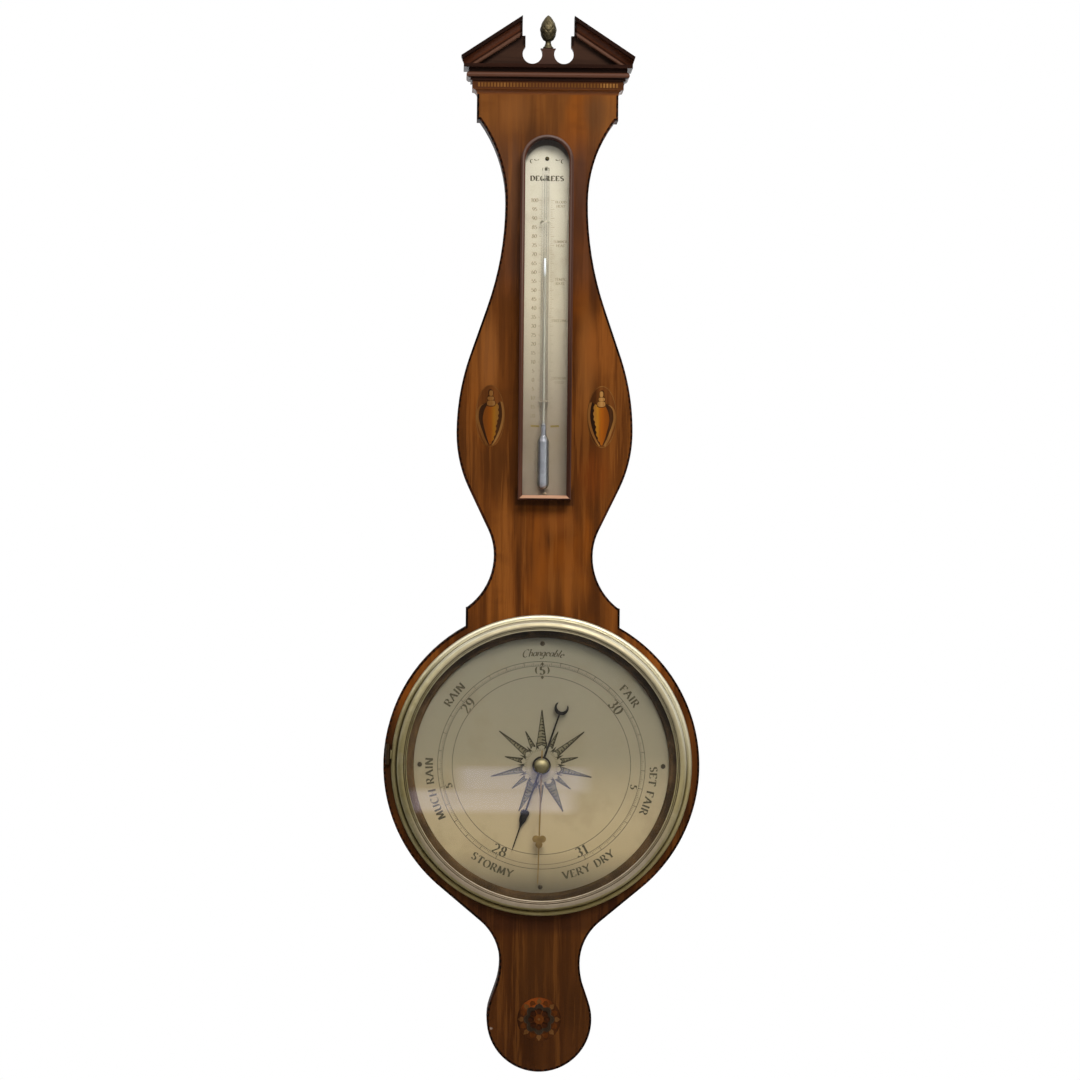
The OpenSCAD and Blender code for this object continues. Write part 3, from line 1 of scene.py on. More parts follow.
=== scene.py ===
"""Looks of the banjo barometer: materials, engraving, inlay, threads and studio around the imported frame."""

import math

import bmesh
import bpy
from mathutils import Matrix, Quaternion, Vector


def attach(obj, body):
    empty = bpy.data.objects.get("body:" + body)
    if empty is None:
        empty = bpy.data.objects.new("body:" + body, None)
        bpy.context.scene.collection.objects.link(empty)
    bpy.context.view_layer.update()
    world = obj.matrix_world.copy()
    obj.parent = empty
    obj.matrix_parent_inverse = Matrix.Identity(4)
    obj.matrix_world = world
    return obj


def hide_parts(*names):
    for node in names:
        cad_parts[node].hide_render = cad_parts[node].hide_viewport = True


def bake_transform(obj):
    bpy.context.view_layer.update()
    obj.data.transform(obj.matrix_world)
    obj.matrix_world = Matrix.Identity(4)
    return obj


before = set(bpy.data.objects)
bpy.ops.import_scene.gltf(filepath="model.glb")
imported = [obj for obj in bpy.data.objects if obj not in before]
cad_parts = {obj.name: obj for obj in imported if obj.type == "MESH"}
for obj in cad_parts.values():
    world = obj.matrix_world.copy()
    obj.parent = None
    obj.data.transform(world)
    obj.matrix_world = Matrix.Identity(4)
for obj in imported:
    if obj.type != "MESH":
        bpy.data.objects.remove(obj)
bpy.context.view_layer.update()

# Measures repeated from the solids: millimetres from the dial's centre, and depths from the wall
MM = 0.001
DIAL_Z = -0.632
FACE = 48.2
CASE_FRONT = 47.0
SCALE_FRONT = 49.4
SHELL_X = 51.4
SHELL_SHIFT = 1.2
SHELL_Z = 321.0
ARCH_Z = 554.7
# How far engraving and inlay stand out, and how deep the engraving is let in
ENGRAVED = 0.04
INLAID = 0.05
LET_IN = 0.3
DIAL_CUT = (CASE_FRONT - LET_IN, CASE_FRONT + ENGRAVED)
SCALE_CUT = (SCALE_FRONT - LET_IN, SCALE_FRONT + ENGRAVED)


def place(x, depth, z):
    """A point of the row frame from millimetres right of the dial's centre, from the wall and above it."""
    return (x * MM, -depth * MM, DIAL_Z + z * MM)


def linear(value):
    """One sRGB channel, 0 to 255, as a linear value."""
    v = value / 255
    return v / 12.92 if v <= 0.04045 else ((v + 0.055) / 1.055) ** 2.4


def shade(colour):
    """Three sRGB numbers as the linear colour that a shader takes; four numbers are one already."""
    if len(colour) == 4:
        return colour
    return tuple(linear(v) for v in colour) + (1.0,)


# SHADER HELPERS


class Nodes:
    """A node tree with short ways to add nodes."""

    def __init__(self, tree):
        self.tree = tree

    def add(self, kind, **props):
        node = self.tree.nodes.new("ShaderNode" + kind)
        for name, value in props.items():
            setattr(node, name, value)
        return node

    def feed(self, socket, value):
        """Links one input, or sets it."""
        if isinstance(value, bpy.types.NodeSocket):
            self.tree.links.new(value, socket)
        else:
            socket.default_value = shade(value) if socket.type == "RGBA" else value

    def fill(self, node, **values):
        """Links or sets inputs by their names."""
        for name, value in values.items():
            self.feed(node.inputs[name.replace("_", " ")], value)
        return node

    def split(self, vector):
        return self.fill(self.add("SeparateXYZ"), Vector=vector).outputs

    def span(self, value, low, high, start=0.0, end=1.0, kind="LINEAR"):
        node = self.add("MapRange", interpolation_type=kind)
        self.fill(node, Value=value, From_Min=low, From_Max=high, To_Min=start, To_Max=end)
        return node.outputs["Result"]

    def math(self, op, a, b=0.0):
        node = self.add("Math", operation=op)
        self.feed(node.inputs[0], a)
        self.feed(node.inputs[1], b)
        return node.outputs[0]

    def times(self, a, b):
        return self.math("MULTIPLY", a, b)

    def ramp(self, fac, *stops):
        node = self.fill(self.add("ValToRGB"), Fac=fac)
        marks = node.color_ramp.elements
        while len(marks) < len(stops):
            marks.new(0.5)
        for mark, (where, colour) in zip(marks, stops):
            mark.position = where
            mark.color = shade(colour)
        return node.outputs["Color"]

    def choose(self, fac, no, yes):
        """A mixture of two shaders."""
        node = self.add("MixShader")
        for socket, value in zip(node.inputs, (fac, no, yes)):
            self.feed(socket, value)
        return node.outputs[0]


class Shader(Nodes):
    """A material, with noises for its figure and masks in millimetres for its wear and its painted light and
    shade.
    """

    def __init__(self, name, **values):
        self.mat = bpy.data.materials.new(name)
        self.mat.use_nodes = True
        super().__init__(self.mat.node_tree)
        self.bsdf = self.tree.nodes["Principled BSDF"]
        self.spot = self.add("TexCoord").outputs["Object"]
        self.set(**values)

    def set(self, **values):
        self.fill(self.bsdf, **values)

    def stretch(self, scale, move=(0, 0, 0)):
        node = self.fill(self.add("Mapping"), Vector=self.spot, Scale=scale, Location=move)
        return node.outputs["Vector"]

    def noise(self, scale, along=None, move=(0, 0, 0), detail=3.0, rough=0.55, distortion=0.0):
        """Noise of one size, drawn out where the scale along an axis is small."""
        where = self.stretch(along, move) if along else self.spot
        node = self.add("TexNoise")
        self.fill(node, Vector=where, Scale=scale, Detail=detail, Roughness=rough, Distortion=distortion)
        return node.outputs["Fac"]

    def bump(self, height, strength, distance=0.0002):
        node = self.fill(self.add("Bump"), Height=height, Strength=strength, Distance=distance)
        self.set(Normal=node.outputs["Normal"])

    def crevice(self, distance):
        return self.fill(self.add("AmbientOcclusion", samples=8), Distance=distance).outputs["AO"]

    def facing(self, axis):
        """How far a face looks along an axis, from its true normal."""
        return self.split(self.add("NewGeometry").outputs["True Normal"])[axis]

    def across(self):
        """Millimetres to the right of the middle."""
        return self.times(self.split(self.spot)["X"], 1 / MM)

    def up(self):
        """Millimetres above the dial's centre."""
        return self.times(self.math("SUBTRACT", self.split(self.spot)["Z"], DIAL_Z), 1 / MM)

    def far(self, x, z):
        return self.math("SQRT", self.math("ADD", self.times(x, x), self.times(z, z)))

    def step(self, value, low, high, start=0.0, end=1.0):
        """A soft change from start to end as the value goes from low to high."""
        return self.span(value, low, high, start, end, "SMOOTHSTEP")

    def band(self, value, low, rise, fall, high):
        """One from rise to fall, nothing under low or over high."""
        return self.times(self.step(value, low, rise), self.step(value, high, fall))

    def near(self, value, middle, close, away):
        """One where the value is close to the middle, nothing where it is away from it."""
        return self.step(self.math("ABSOLUTE", self.math("SUBTRACT", value, middle)), away, close)

    def patch(self, x, z, half_x, half_z):
        """One in the middle of an oval on the front, falling softly to nothing at its edge."""
        centre = place(x, 0, z)
        scale = (1 / (half_x * MM), 0, 1 / (half_z * MM))
        node = self.add("VectorMath", operation="LENGTH")
        self.feed(node.inputs[0], self.stretch(scale, tuple(-c * s for c, s in zip(centre, scale))))
        return self.step(node.outputs["Value"], 1.0, 0.2)

    def mix(self, fac, a, b):
        node = self.add("Mix", data_type="RGBA")
        for index, value in ((0, fac), (6, a), (7, b)):
            self.feed(node.inputs[index], value)
        return node.outputs[2]

    def tint(self, paint, share, *shares):
        """Lays a paint over the colour, as much as the product of the shares."""
        for more in shares:
            share = self.times(share, more)
        self.colour = self.mix(share, self.colour, paint)

    def show(self, **values):
        """Uses the colour, with other values of the surface."""
        self.set(Base_Color=self.colour, **values)


# WOODS


def polished(name, coat, **values):
    return Shader(name, Specular_IOR_Level=0.0, Coat_Weight=coat, Coat_Roughness=0.2, **values)


def wood(name, dark, mid, pale, along=(1, 1, 0.035), roughness=0.4, coat=0.25, tone=None):
    """Polished wood: broad streaks, fine figure and pores that run along one axis."""
    s = polished(name, coat)
    broad = s.noise(26, along, detail=3, rough=0.5, distortion=0.8)
    fine = s.noise(170, along, detail=5, rough=0.65, distortion=0.3)
    pores = s.noise(900, tuple(a * (0.5 if a < 1 else 1) for a in along), detail=2)
    figure = s.math("ADD", s.times(broad, 0.78), s.times(fine, 0.22))
    s.colour = s.ramp(figure, (0.41, dark), (0.5, mid), (0.59, pale))
    dots = s.step(pores, 0.60, 0.72)
    s.tint(dark, dots, 0.4)
    if tone:
        tone(s)
    s.show(Roughness=s.step(fine, 0.3, 0.7, roughness + 0.06, roughness - 0.06))
    s.bump(s.math("SUBTRACT", fine, dots), 0.12, 0.0003)
    return s.mat


# Darker and brighter clouds of the veneer: place, reach, share and colour
CLOUDS = (
    (-38, 270, 26, 42, 0.55, (56, 30, 11)),
    (76, 313, 18, 52, 0.5, (66, 34, 12)),
    (46, 600, 22, 26, 0.5, (86, 58, 36)),
    (31, 530, 10, 62, 0.6, (64, 44, 37)),
    (-31, 530, 9, 62, 0.6, (110, 72, 47)),
    (38, 372, 13, 78, 0.62, (138, 84, 38)),
    (-52, 375, 13, 58, 0.62, (136, 83, 40)),
    (13, 226, 24, 21, 0.65, (124, 68, 25)),
    (21, 163, 28, 30, 0.5, (124, 71, 26)),
    (48, 384, 20, 40, 0.6, (134, 76, 30)),
    (46, 268, 20, 34, 0.5, (122, 60, 18)),
    (-30, 600, 22, 26, 0.3, (134, 84, 44)),
)
FOOT_CLOUDS = (
    (-3, -182, 30, 75, 0.5, (92, 54, 21)),
    (33, -222, 14, 42, 0.5, (42, 23, 10)),
)
# Painted shade along the left edge of the body, and a chip in the foot
MARKS = (
    (-144, 10, 22, 150, 0.9, (50, 29, 13)),
    (-44.4, -242.4, 2.6, 1.7, 0.8, (146, 126, 112)),
)
# Noises over the veneer: size, stretch, offset, detail, where they start and end, share and colour
DRIFTS = (
    (16, (1, 1, 0.25), (0.1, 0, 0.4), 3, 0.48, 0.64, 0.6, (64, 36, 15)),
    (20, (1, 1, 0.3), (0.3, 0, 0.7), 3, 0.5, 0.66, 0.6, (136, 72, 18)),
    (60, (0.5, 1, 1.0), (0.2, 0, 0.1), 2, 0.5, 0.7, 0.3, (86, 47, 17)),
)
# Dark and bright streaks of the veneer: start, end, share, colour above and colour at the foot
STREAKS = (
    (0.52, 0.61, 0.42, (70, 37, 14), (36, 18, 8)),
    (0.47, 0.38, 0.34, (142, 84, 34), (112, 68, 28)),
)


def clouded(s, clouds):
    for x, z, half_x, half_z, share, paint in clouds:
        s.tint(paint, s.patch(x, z, half_x, half_z), share)


def aged_front(s):
    """Paler at the head, a greyer painted sheen at the waist, clouds, orange flame, ripples and a darker
    foot, with painted shadows under the bezel and the thermometer's box and painted shade along the left
    edge.
    """
    z = s.up()
    s.tint((130, 82, 40), s.step(z, 500, 600), 0.4)
    for size, along, move, detail, start, end, share, paint in DRIFTS:
        s.tint(paint, s.step(s.noise(size, along, move, detail), start, end), share)
    # Painted sheen: a greyer haze over the waist
    s.tint((84, 58, 46), s.band(z, 420, 460, 550, 600), 0.4)
    s.tint((74, 40, 14), s.band(z, 210, 270, 330, 400), 0.3)
    clouded(s, CLOUDS)
    grain = s.noise(34, (1, 1, 0.06), (0.4, 0, 0.2))
    foot = s.ramp(grain, (0.40, (42, 21, 8)), (0.5, (60, 32, 12)), (0.62, (78, 44, 17)))
    low = s.step(z, -120, 110, 0.88, 0.0)
    s.tint(foot, low)
    clouded(s, FOOT_CLOUDS)
    figure = s.noise(95, (1, 1, 0.045), (0.7, 0, 0.3), detail=4, rough=0.7)
    plainer = s.step(z, 520, 580, 1.0, 0.5)
    for start, end, share, high, deep in STREAKS:
        s.tint(s.mix(low, high, deep), s.step(figure, start, end), share, plainer)
    # Painted shadow in a band just below the bezel
    s.tint((44, 22, 13), s.band(z, -158, -148, -130, -100), 0.55)
    # Painted shadow in a strip under the thermometer's box
    under = s.band(z, 237.5, 240.5, 250, 260)
    s.tint((42, 23, 14), under, s.near(s.across(), 0, 25.5, 28.5), 0.65)
    # Painted shade along the left edge, and the chip
    clouded(s, MARKS)


def flower_glow(s):
    """Redder wood at the upper left of the flower."""
    s.tint((126, 60, 19), s.patch(-4, -218, 20, 13), 0.85)


def dim_left(s):
    """The left shell has darkened more than the right one, and the frieze is rubbed away in the middle."""
    x = s.across()
    z = s.up()
    s.tint((94, 56, 28), s.near(x, 0, 8, 22), s.step(z, 550, 560), 0.55)
    s.tint((74, 40, 14), s.step(x, -20, -30), s.step(z, 400, 360), 0.4)


def moulded_cornice(s):
    """The cove keeps the front's colour, the fascia is browner, the torus carries a paler painted highlight
    and the mouldings above are nearly black.
    """
    z = s.up()
    s.tint((108, 62, 30), s.step(z, 622.5, 621.5))
    s.tint((84, 48, 24), s.band(z, 621.5, 622.0, 628.8, 629.2), 0.7)
    # Painted highlight along the torus
    s.tint((104, 66, 48), s.band(z, 632.0, 633.2, 636.2, 637.4), 0.6)


# Slope of the rakes, and a spot on their upper edge
RAKE_SLOPE = math.radians(33.4)
RAKE_X = 80
RAKE_Z = 651.5


def moulded_rake(s):
    """Across the slope: a dark top fillet, a redder hollow painted lighter as if lit, a paler bead that is
    worn and carries a painted highlight, and painted shade at the inner ends.
    """
    x = s.across()
    line = s.times(s.math("SUBTRACT", RAKE_X, s.math("ABSOLUTE", x)), math.tan(RAKE_SLOPE))
    line = s.math("ADD", line, RAKE_Z)
    drop = s.times(s.math("SUBTRACT", line, s.up()), math.cos(RAKE_SLOPE))
    s.tint((26, 13, 9), s.step(drop, 3.8, 2.6), 0.75)
    # Painted light: the hollow lightened as if lit from the front
    s.tint((92, 50, 30), s.band(drop, 3.4, 4.6, 9.0, 10.6), 0.6)
    # Paler bead: wear and a painted highlight
    s.tint((112, 76, 58), s.step(drop, 10.4, 11.6), 0.55)
    # Painted shade at the inner ends of the rakes beside the opening
    s.tint((20, 11, 8), s.near(x, 0, 25.6, 26.8), 0.85)


def notched_tympanum(s):
    """Painted shade beside the opening, above the scrolls, and paler on the plinth in the middle."""
    x = s.across()
    # Painted shade beside the opening, above the scrolls
    s.tint((22, 12, 9), s.near(x, 0, 23.0, 24.2), s.step(s.up(), 661.5, 662.5), 0.85)
    s.tint((76, 54, 46), s.near(x, 0, 8, 14), 0.6)


def worn_frame(s):
    """Painted highlights: a bead lit along its sides and over the arch, and a bevel below painted pale where
    it looks up.
    """
    z = s.up()
    upward = s.facing("Z")
    # Painted sheen on the sides, and a painted highlight where the arch's top looks up
    s.tint((104, 70, 56), s.step(s.math("ABSOLUTE", s.facing("X")), 0.35, 0.75), 0.4)
    s.tint((118, 94, 88), s.step(z, 550, 565), s.step(upward, 0.2, 0.7), 0.6)
    # A painted highlight line along the bead, round the arch and down the sides
    rise = s.math("MAXIMUM", s.math("SUBTRACT", z, ARCH_Z), 0.0)
    bead = s.step(rise, 0.0, 12, 22.0, 22.9)
    line = s.near(s.far(s.across(), rise), bead, 0.4, 1.2)
    s.tint((118, 96, 86), line, s.step(z, 340, 500), 0.6)
    # Painted highlight on the lower bevel, where it faces up
    s.tint((188, 142, 112), s.step(z, 252.0, 251.5), s.step(upward, 0.15, 0.3), 0.85)


LEVEL_GRAIN = (0.05, 1, 1)
MAHOGANY = wood("mahogany_front", (70, 36, 12), (106, 58, 20), (128, 74, 28), tone=aged_front)
CASE_WOOD = wood("mahogany_case", (38, 19, 10), (58, 30, 15), (78, 43, 22), roughness=0.3, coat=0.12)
MOULDING = wood("mahogany_moulding", (30, 18, 13), (46, 30, 23), (62, 42, 32), LEVEL_GRAIN, 0.3,
                tone=notched_tympanum)
CORNICE_WOOD = wood("mahogany_cornice", (32, 17, 11), (48, 26, 18), (66, 37, 25), LEVEL_GRAIN, 0.26,
                    tone=moulded_cornice)
RAKE_WOOD = wood("mahogany_rake", (30, 15, 10), (50, 26, 17), (68, 38, 25), (0.05, 1, 0.2), 0.3,
                 tone=moulded_rake)
FRAME_WOOD = wood("mahogany_frame", (40, 21, 14), (60, 33, 22), (84, 49, 34), roughness=0.3,
                  tone=worn_frame)
SLIP_WOOD = wood("mahogany_slip", (52, 39, 24), (64, 48, 30), (78, 59, 38), (1, 1, 1), 0.3, 0.0)
OVAL_WOOD = wood("inlay_ground", (64, 34, 12), (94, 52, 20), (114, 66, 28))
FLOWER_WOOD = wood("flower_ground", (44, 21, 6), (60, 31, 11), (78, 43, 16), tone=flower_glow)
FLOWER_TIP = wood("flower_tips", (70, 41, 17), (90, 57, 27), (108, 72, 38))
FLOWER_LEAF = wood("flower_leaves", (30, 21, 14), (44, 33, 23), (58, 46, 35))
FLOWER_RIM = wood("flower_rims", (42, 32, 23), (56, 45, 34), (72, 60, 47))
FLOWER_FLAME = wood("flower_flame", (62, 29, 7), (78, 39, 11), (94, 50, 17))
STRING_DARK = wood("stringing_dark", (14, 9, 6), (22, 13, 9), (32, 19, 13), coat=0.05)
STRING_RED = wood("stringing_red", (38, 19, 10), (52, 26, 13), (68, 35, 18), coat=0.05)
BOXWOOD = wood("inlay_boxwood", (94, 58, 24), (120, 78, 36), (144, 100, 50), roughness=0.28, tone=dim_left)
PALE_BOX = wood("inlay_pale", (116, 74, 34), (144, 98, 48), (172, 126, 70), roughness=0.28, tone=dim_left)
SCORCHED = wood("inlay_scorched", (34, 19, 9), (52, 30, 14), (70, 42, 20), roughness=0.28)
PINE = wood("pine_inside", (112, 76, 44), (146, 104, 62), (172, 128, 82), roughness=0.62, coat=0.0)


def shell_wood():
    """Satinwood of the shells: yellow towards the mouth, orange in the middle, browner outside."""
    s = polished("inlay_satinwood", 0.25, Roughness=0.4)
    grain = s.noise(200, (1, 1, 0.08), detail=4)
    middle = s.math("SUBTRACT", s.across(), SHELL_SHIFT)
    outward = s.math("SUBTRACT", s.math("ABSOLUTE", middle), SHELL_X)
    share = s.step(s.math("ADD", outward, s.times(grain, 4)), -7.5, 9.5)
    s.colour = s.ramp(share, (0.0, (140, 98, 46)), (0.22, (158, 104, 28)), (0.55, (148, 78, 16)),
                      (1.0, (112, 58, 16)))
    s.tint((120, 70, 24), s.step(grain, 0.5, 0.65), 0.35)
    dim_left(s)
    s.show()
    s.bump(grain, 0.1, 0.0004)
    return s.mat


SATINWOOD = shell_wood()


# METALS


def brass(name, dark, mid, pale, roughness, dirt=0.6, reach=0.004, metallic=1.0, tone=None):
    """Aged brass: mottled tarnish, fine wear and dirt that stays in the hollows."""
    s = Shader(name, Metallic=metallic)
    cloud = s.noise(60, detail=5, rough=0.65)
    speck = s.noise(700)
    s.colour = s.ramp(cloud, (0.3, dark), (0.5, mid), (0.7, pale))
    s.tint(dark, s.step(speck, 0.62, 0.74), 0.35)
    if tone:
        tone(s)
    s.tint((48, 38, 20), s.step(s.crevice(reach), 0.35, 0.9, dirt, 0.0))
    s.show(Roughness=s.step(cloud, 0.3, 0.7, roughness + 0.08, roughness - 0.06))
    s.bump(speck, 0.05)
    return s.mat


# Radii of the bezel: where the roll meets the flange, at the top and below, the groove and lines by the reeds
ROLL_IN = 130.2
ROLL_IN_BELOW = 130.4
ROLL_OUT = 131.4
GROOVE_R = 133.6
REED_LINES = (125.35, 126.85)


def worn_bezel(s):
    """Painted reflections: bright at the top, olive beside and darker on the left, a pinkish roll below; dirt
    in dark lines by the reeds, and a dark barrel.
    """
    x = s.across()
    z = s.up()
    radius = s.far(x, z)
    # Painted reflections: olive at the sides, darker on the left than on the right
    olive = s.mix(s.step(x, -20, 20), (108, 96, 54), (150, 136, 92))
    s.tint(olive, s.near(z, 0, 30, 100), 0.6)
    # Painted highlight over the top of the roll and the groove, with a dimmer band inside the roll
    above = s.step(s.math("ADD", z, s.times(x, 0.35)), 20, 100)
    s.tint((190, 185, 164), above, s.step(radius, ROLL_IN, ROLL_OUT), 0.8)
    s.tint((134, 125, 103), above, s.step(radius, ROLL_OUT, ROLL_IN), 0.85)
    s.tint((228, 223, 204), above, s.near(radius, GROOVE_R, 0.6, 1.4), 0.9)
    # Painted reflection below: a pinkish roll and an olive flange
    below = s.step(z, -30, -100)
    s.tint((142, 126, 112), below, s.step(radius, ROLL_OUT, ROLL_IN_BELOW), 0.7)
    s.tint((122, 108, 62), below, s.step(radius, ROLL_IN_BELOW, ROLL_OUT), 0.75)
    dirt = s.step(above, 0.0, 1.0, 0.8, 0.2)
    for middle in REED_LINES:
        s.tint((66, 52, 34), s.near(radius, middle, 0.2, 0.6), dirt)
    s.tint((50, 36, 20), s.step(x, -138.7, -139.3))


BEZEL_BRASS = brass("brass_bezel", (130, 122, 90), (152, 144, 112), (178, 171, 142), 0.46, 0.2, 0.002, 0.85,
                    worn_bezel)
FINIAL_BRASS = brass("brass_finial", (56, 49, 33), (76, 68, 48), (100, 92, 68), 0.5, 0.85, 0.002, 0.9)
HINGE_BRASS = brass("brass_hinge", (44, 32, 18), (62, 46, 26), (84, 66, 40), 0.45, 0.7, 0.002, 0.9)
BRASS = brass("brass_fittings", (104, 83, 45), (140, 114, 65), (174, 147, 92), 0.36)
KNOB_BRASS = brass("brass_knob", (90, 82, 57), (114, 106, 79), (140, 132, 104), 0.46)
HAND_BRASS = brass("brass_hand", (92, 68, 34), (120, 92, 48), (150, 120, 70), 0.45, 0.2, 0.002, 0.6)


def silvered(name, roughness, *tones, painted_shade=None):
    """Silvered brass under old lacquer, its tone given by height in millimetres from the dial's centre."""
    s = Shader(name, Metallic=0.25)
    low, high = tones[0][0], tones[-1][0]
    stops = (((z - low) / (high - low), tone) for z, tone in tones)
    s.colour = s.ramp(s.span(s.up(), low, high), *stops)
    cloud = s.noise(26, detail=4, rough=0.6)
    s.tint((112, 96, 66), s.step(cloud, 0.48, 0.72), 0.25)
    grain = s.noise(700)
    s.tint((84, 72, 52), s.step(grain, 0.60, 0.80), 0.18)
    if painted_shade:
        painted_shade(s)
    s.show(Roughness=s.step(cloud, 0.3, 0.7, roughness - 0.05, roughness + 0.06))
    s.bump(grain, 0.004)
    return s.mat


def arch_grime(s):
    """A painted shadow under the arch of the thermometer's box."""
    z = s.up()
    radius = s.far(s.across(), s.math("SUBTRACT", z, ARCH_Z - 4.8))
    high = s.step(z, ARCH_Z - 2, ARCH_Z + 8)
    # Painted shadow that the arch casts on the top of the plate
    s.tint((56, 38, 27), s.step(radius, 19.2, 21.0), high, 0.9)


# The dial's paler, warmer lower half is a painted reflection
DIAL_SILVER = silvered("silvered_dial", 0.5, (-114, (92, 82, 62)), (-78, (160, 141, 107)),
                       (-46, (160, 142, 110)), (10, (127, 117, 95)), (118, (116, 110, 94)))
# The plate darkens towards the bottom: painted shade
SCALE_SILVER = silvered("silvered_scale", 0.55, (250, (115, 101, 85)), (310, (123, 109, 92)),
                        (430, (177, 166, 146)), (560, (184, 177, 162)), painted_shade=arch_grime)


def grained(s, dark, pale, scale, tone=None):
    """A ramp of two shades over fine grain, which it gives back for roughness and bump."""
    grain = s.noise(scale)
    s.colour = s.ramp(grain, (0.3, dark), (0.7, pale))
    if tone:
        tone(s)
    s.show()
    return grain


def silvered_below(s):
    """The lower of the plate's two screws is silvered like the plate."""
    s.tint((140, 126, 106), s.step(s.up(), 420, 400))


def metal(name, dark, pale, roughness, tone=None):
    s = Shader(name, Metallic=1.0)
    grain = grained(s, dark, pale, 240, tone)
    s.set(Roughness=s.step(grain, 0.3, 0.7, roughness + 0.06, roughness - 0.05))
    s.bump(grain, 0.04)
    return s.mat


BLUED = metal("blued_steel", (34, 31, 30), (56, 52, 50), 0.4)
DARK_SCREW = metal("darkened_screws", (44, 38, 30), (82, 72, 58), 0.45)
PLATE_SCREW = metal("plate_screws", (36, 31, 20), (60, 52, 34), 0.45, silvered_below)
STEEL = metal("bright_steel", (112, 108, 102), (168, 164, 156), 0.32)
MERCURY = metal("quicksilver", (196, 197, 200), (222, 223, 226), 0.1)


def stem_silver():
    """Quicksilver of the thermometer: bright in the bulb, hardly seen in the stem, with painted shade along
    the bulb's edges and a painted highlight at the top of the column.
    """
    s = Shader("bulb_quicksilver")
    z = s.up()
    grain = s.noise(160)
    stem = s.step(z, 311, 318)
    s.colour = s.ramp(grain, (0.3, (152, 152, 160)), (0.7, (178, 178, 186)))
    # Painted shade along the edges of the bulb
    rim = s.step(s.math("ABSOLUTE", s.math("ADD", s.across(), 1.3)), 2.2, 3.4)
    s.tint((74, 72, 70), rim, 0.75)
    s.tint((158, 152, 138), stem)
    # Painted highlight at the top of the column
    s.tint((226, 228, 234), s.step(z, 448, 456), stem)
    s.show(Metallic=s.step(stem, 0.0, 1.0, 0.6, 0.2), Roughness=s.step(stem, 0.0, 1.0, 0.24, 0.5))
    s.bump(grain, 0.03)
    return s.mat


BULB = stem_silver()


# INK, SILK AND GLASS


def plain(name, dark, pale, roughness, scale=300, bump=0.1, gloss=0.5):
    s = Shader(name, Specular_IOR_Level=gloss)
    grain = grained(s, dark, pale, scale)
    s.set(Roughness=s.step(grain, 0.3, 0.7, roughness + 0.08, roughness - 0.08))
    s.bump(grain, bump)
    return s.mat


INK = plain("engraving_wax", (56, 50, 38), (80, 73, 57), 0.6, 900, gloss=0.1)
FAINT_INK = plain("engraving_worn", (104, 93, 70), (130, 118, 94), 0.6, 900, gloss=0.1)
STAR_INK = plain("engraving_hatched", (92, 85, 65), (110, 102, 80), 0.6, 700, gloss=0.1)
DEEP_INK = plain("engraving_deep", (36, 32, 24), (52, 47, 35), 0.6, 900, gloss=0.1)
WIRE = plain("wire_marks", (98, 82, 40), (122, 104, 56), 0.5, 700, gloss=0.1)
SILK = plain("silk_thread", (176, 158, 118), (214, 198, 158), 0.7, 1600, 0.3)
WEIGHT_GLASS = plain("dark_glass", (40, 42, 44), (74, 76, 78), 0.15)


def glass(name, tint, bend=1.46):
    """Clear glass that lets lamps through to what is behind it."""
    s = Shader(name, Base_Color=tint, Roughness=0.0, Transmission_Weight=1.0, IOR=bend)
    clear = s.fill(s.add("BsdfTransparent"), Color=tint).outputs["BSDF"]
    shadow = s.add("LightPath").outputs["Is Shadow Ray"]
    s.fill(s.tree.nodes["Material Output"], Surface=s.choose(shadow, s.bsdf.outputs["BSDF"], clear))
    return s.mat


PANE = glass("clear_glass", (0.97, 0.98, 0.965, 1.0))
TUBE_GLASS = glass("tube_glass", (0.88, 0.895, 0.89, 1.0))
STEM_GLASS = glass("stem_glass", (0.92, 0.925, 0.935, 1.0), 1.2)

NODE_LOOKS = (
    (MAHOGANY, "front_veneer"),
    (CASE_WOOD, "carcass"),
    (MOULDING, "tympanum"),
    (CORNICE_WOOD, "cornice"),
    (RAKE_WOOD, "left_rake", "right_rake"),
    (FRAME_WOOD, "thermometer_frame"),
    (SLIP_WOOD, "dial_slip"),
    (OVAL_WOOD, "shell_ovals"),
    (FLOWER_WOOD, "flower_roundel"),
    (SATINWOOD, "shell_figures"),
    (BOXWOOD, "flower_petals", "frieze_blocks"),
    (STRING_DARK, "edge_stringing"),
    (PINE, "back_door", "tube_cradles"),
    (BEZEL_BRASS, "bezel", "glass_retainer"),
    (FINIAL_BRASS, "finial"),
    (HINGE_BRASS, "bezel_hinge_leaf", "bezel_hinge_pin"),
    (DARK_SCREW, "dial_screws"),
    (PLATE_SCREW, "scale_screws"),
    (BRASS, "arbor_bush", "bridge_bar", "bridge_pillars", "tube_straps", "hanging_plate", "setting_washer",
     "door_hinge_case_leaves", "door_hinge_door_leaves", "turn_button", "pulley"),
    (KNOB_BRASS, "setting_knob"),
    (HAND_BRASS, "setting_hand"),
    (DIAL_SILVER, "dial_plate"),
    (SCALE_SILVER, "thermometer_scale", "thermometer_clips"),
    (BLUED, "indicator_hand"),
    (STEEL, "bridge_screws", "strap_screws", "hanging_screws", "door_hinge_pins", "catch_screw",
     "hand_arbor"),
    (PANE, "bezel_glass", "thermometer_glass"),
    (STEM_GLASS, "thermometer_tube"),
    (TUBE_GLASS, "siphon_tube", "counterweight_tube"),
    (BULB, "thermometer_mercury"),
    (MERCURY, "mercury_short", "mercury_long"),
    (SILK, "float_thread", "counter_thread", "pulley_thread"),
    (WEIGHT_GLASS, "float_weight", "counterweight"),
)


def dress_nodes():
    """Gives every solid of the frame its material."""
    for look, *names in NODE_LOOKS:
        for name in names:
            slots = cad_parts[name].data.materials
            slots.clear()
            slots.append(look)


# MESH HELPERS


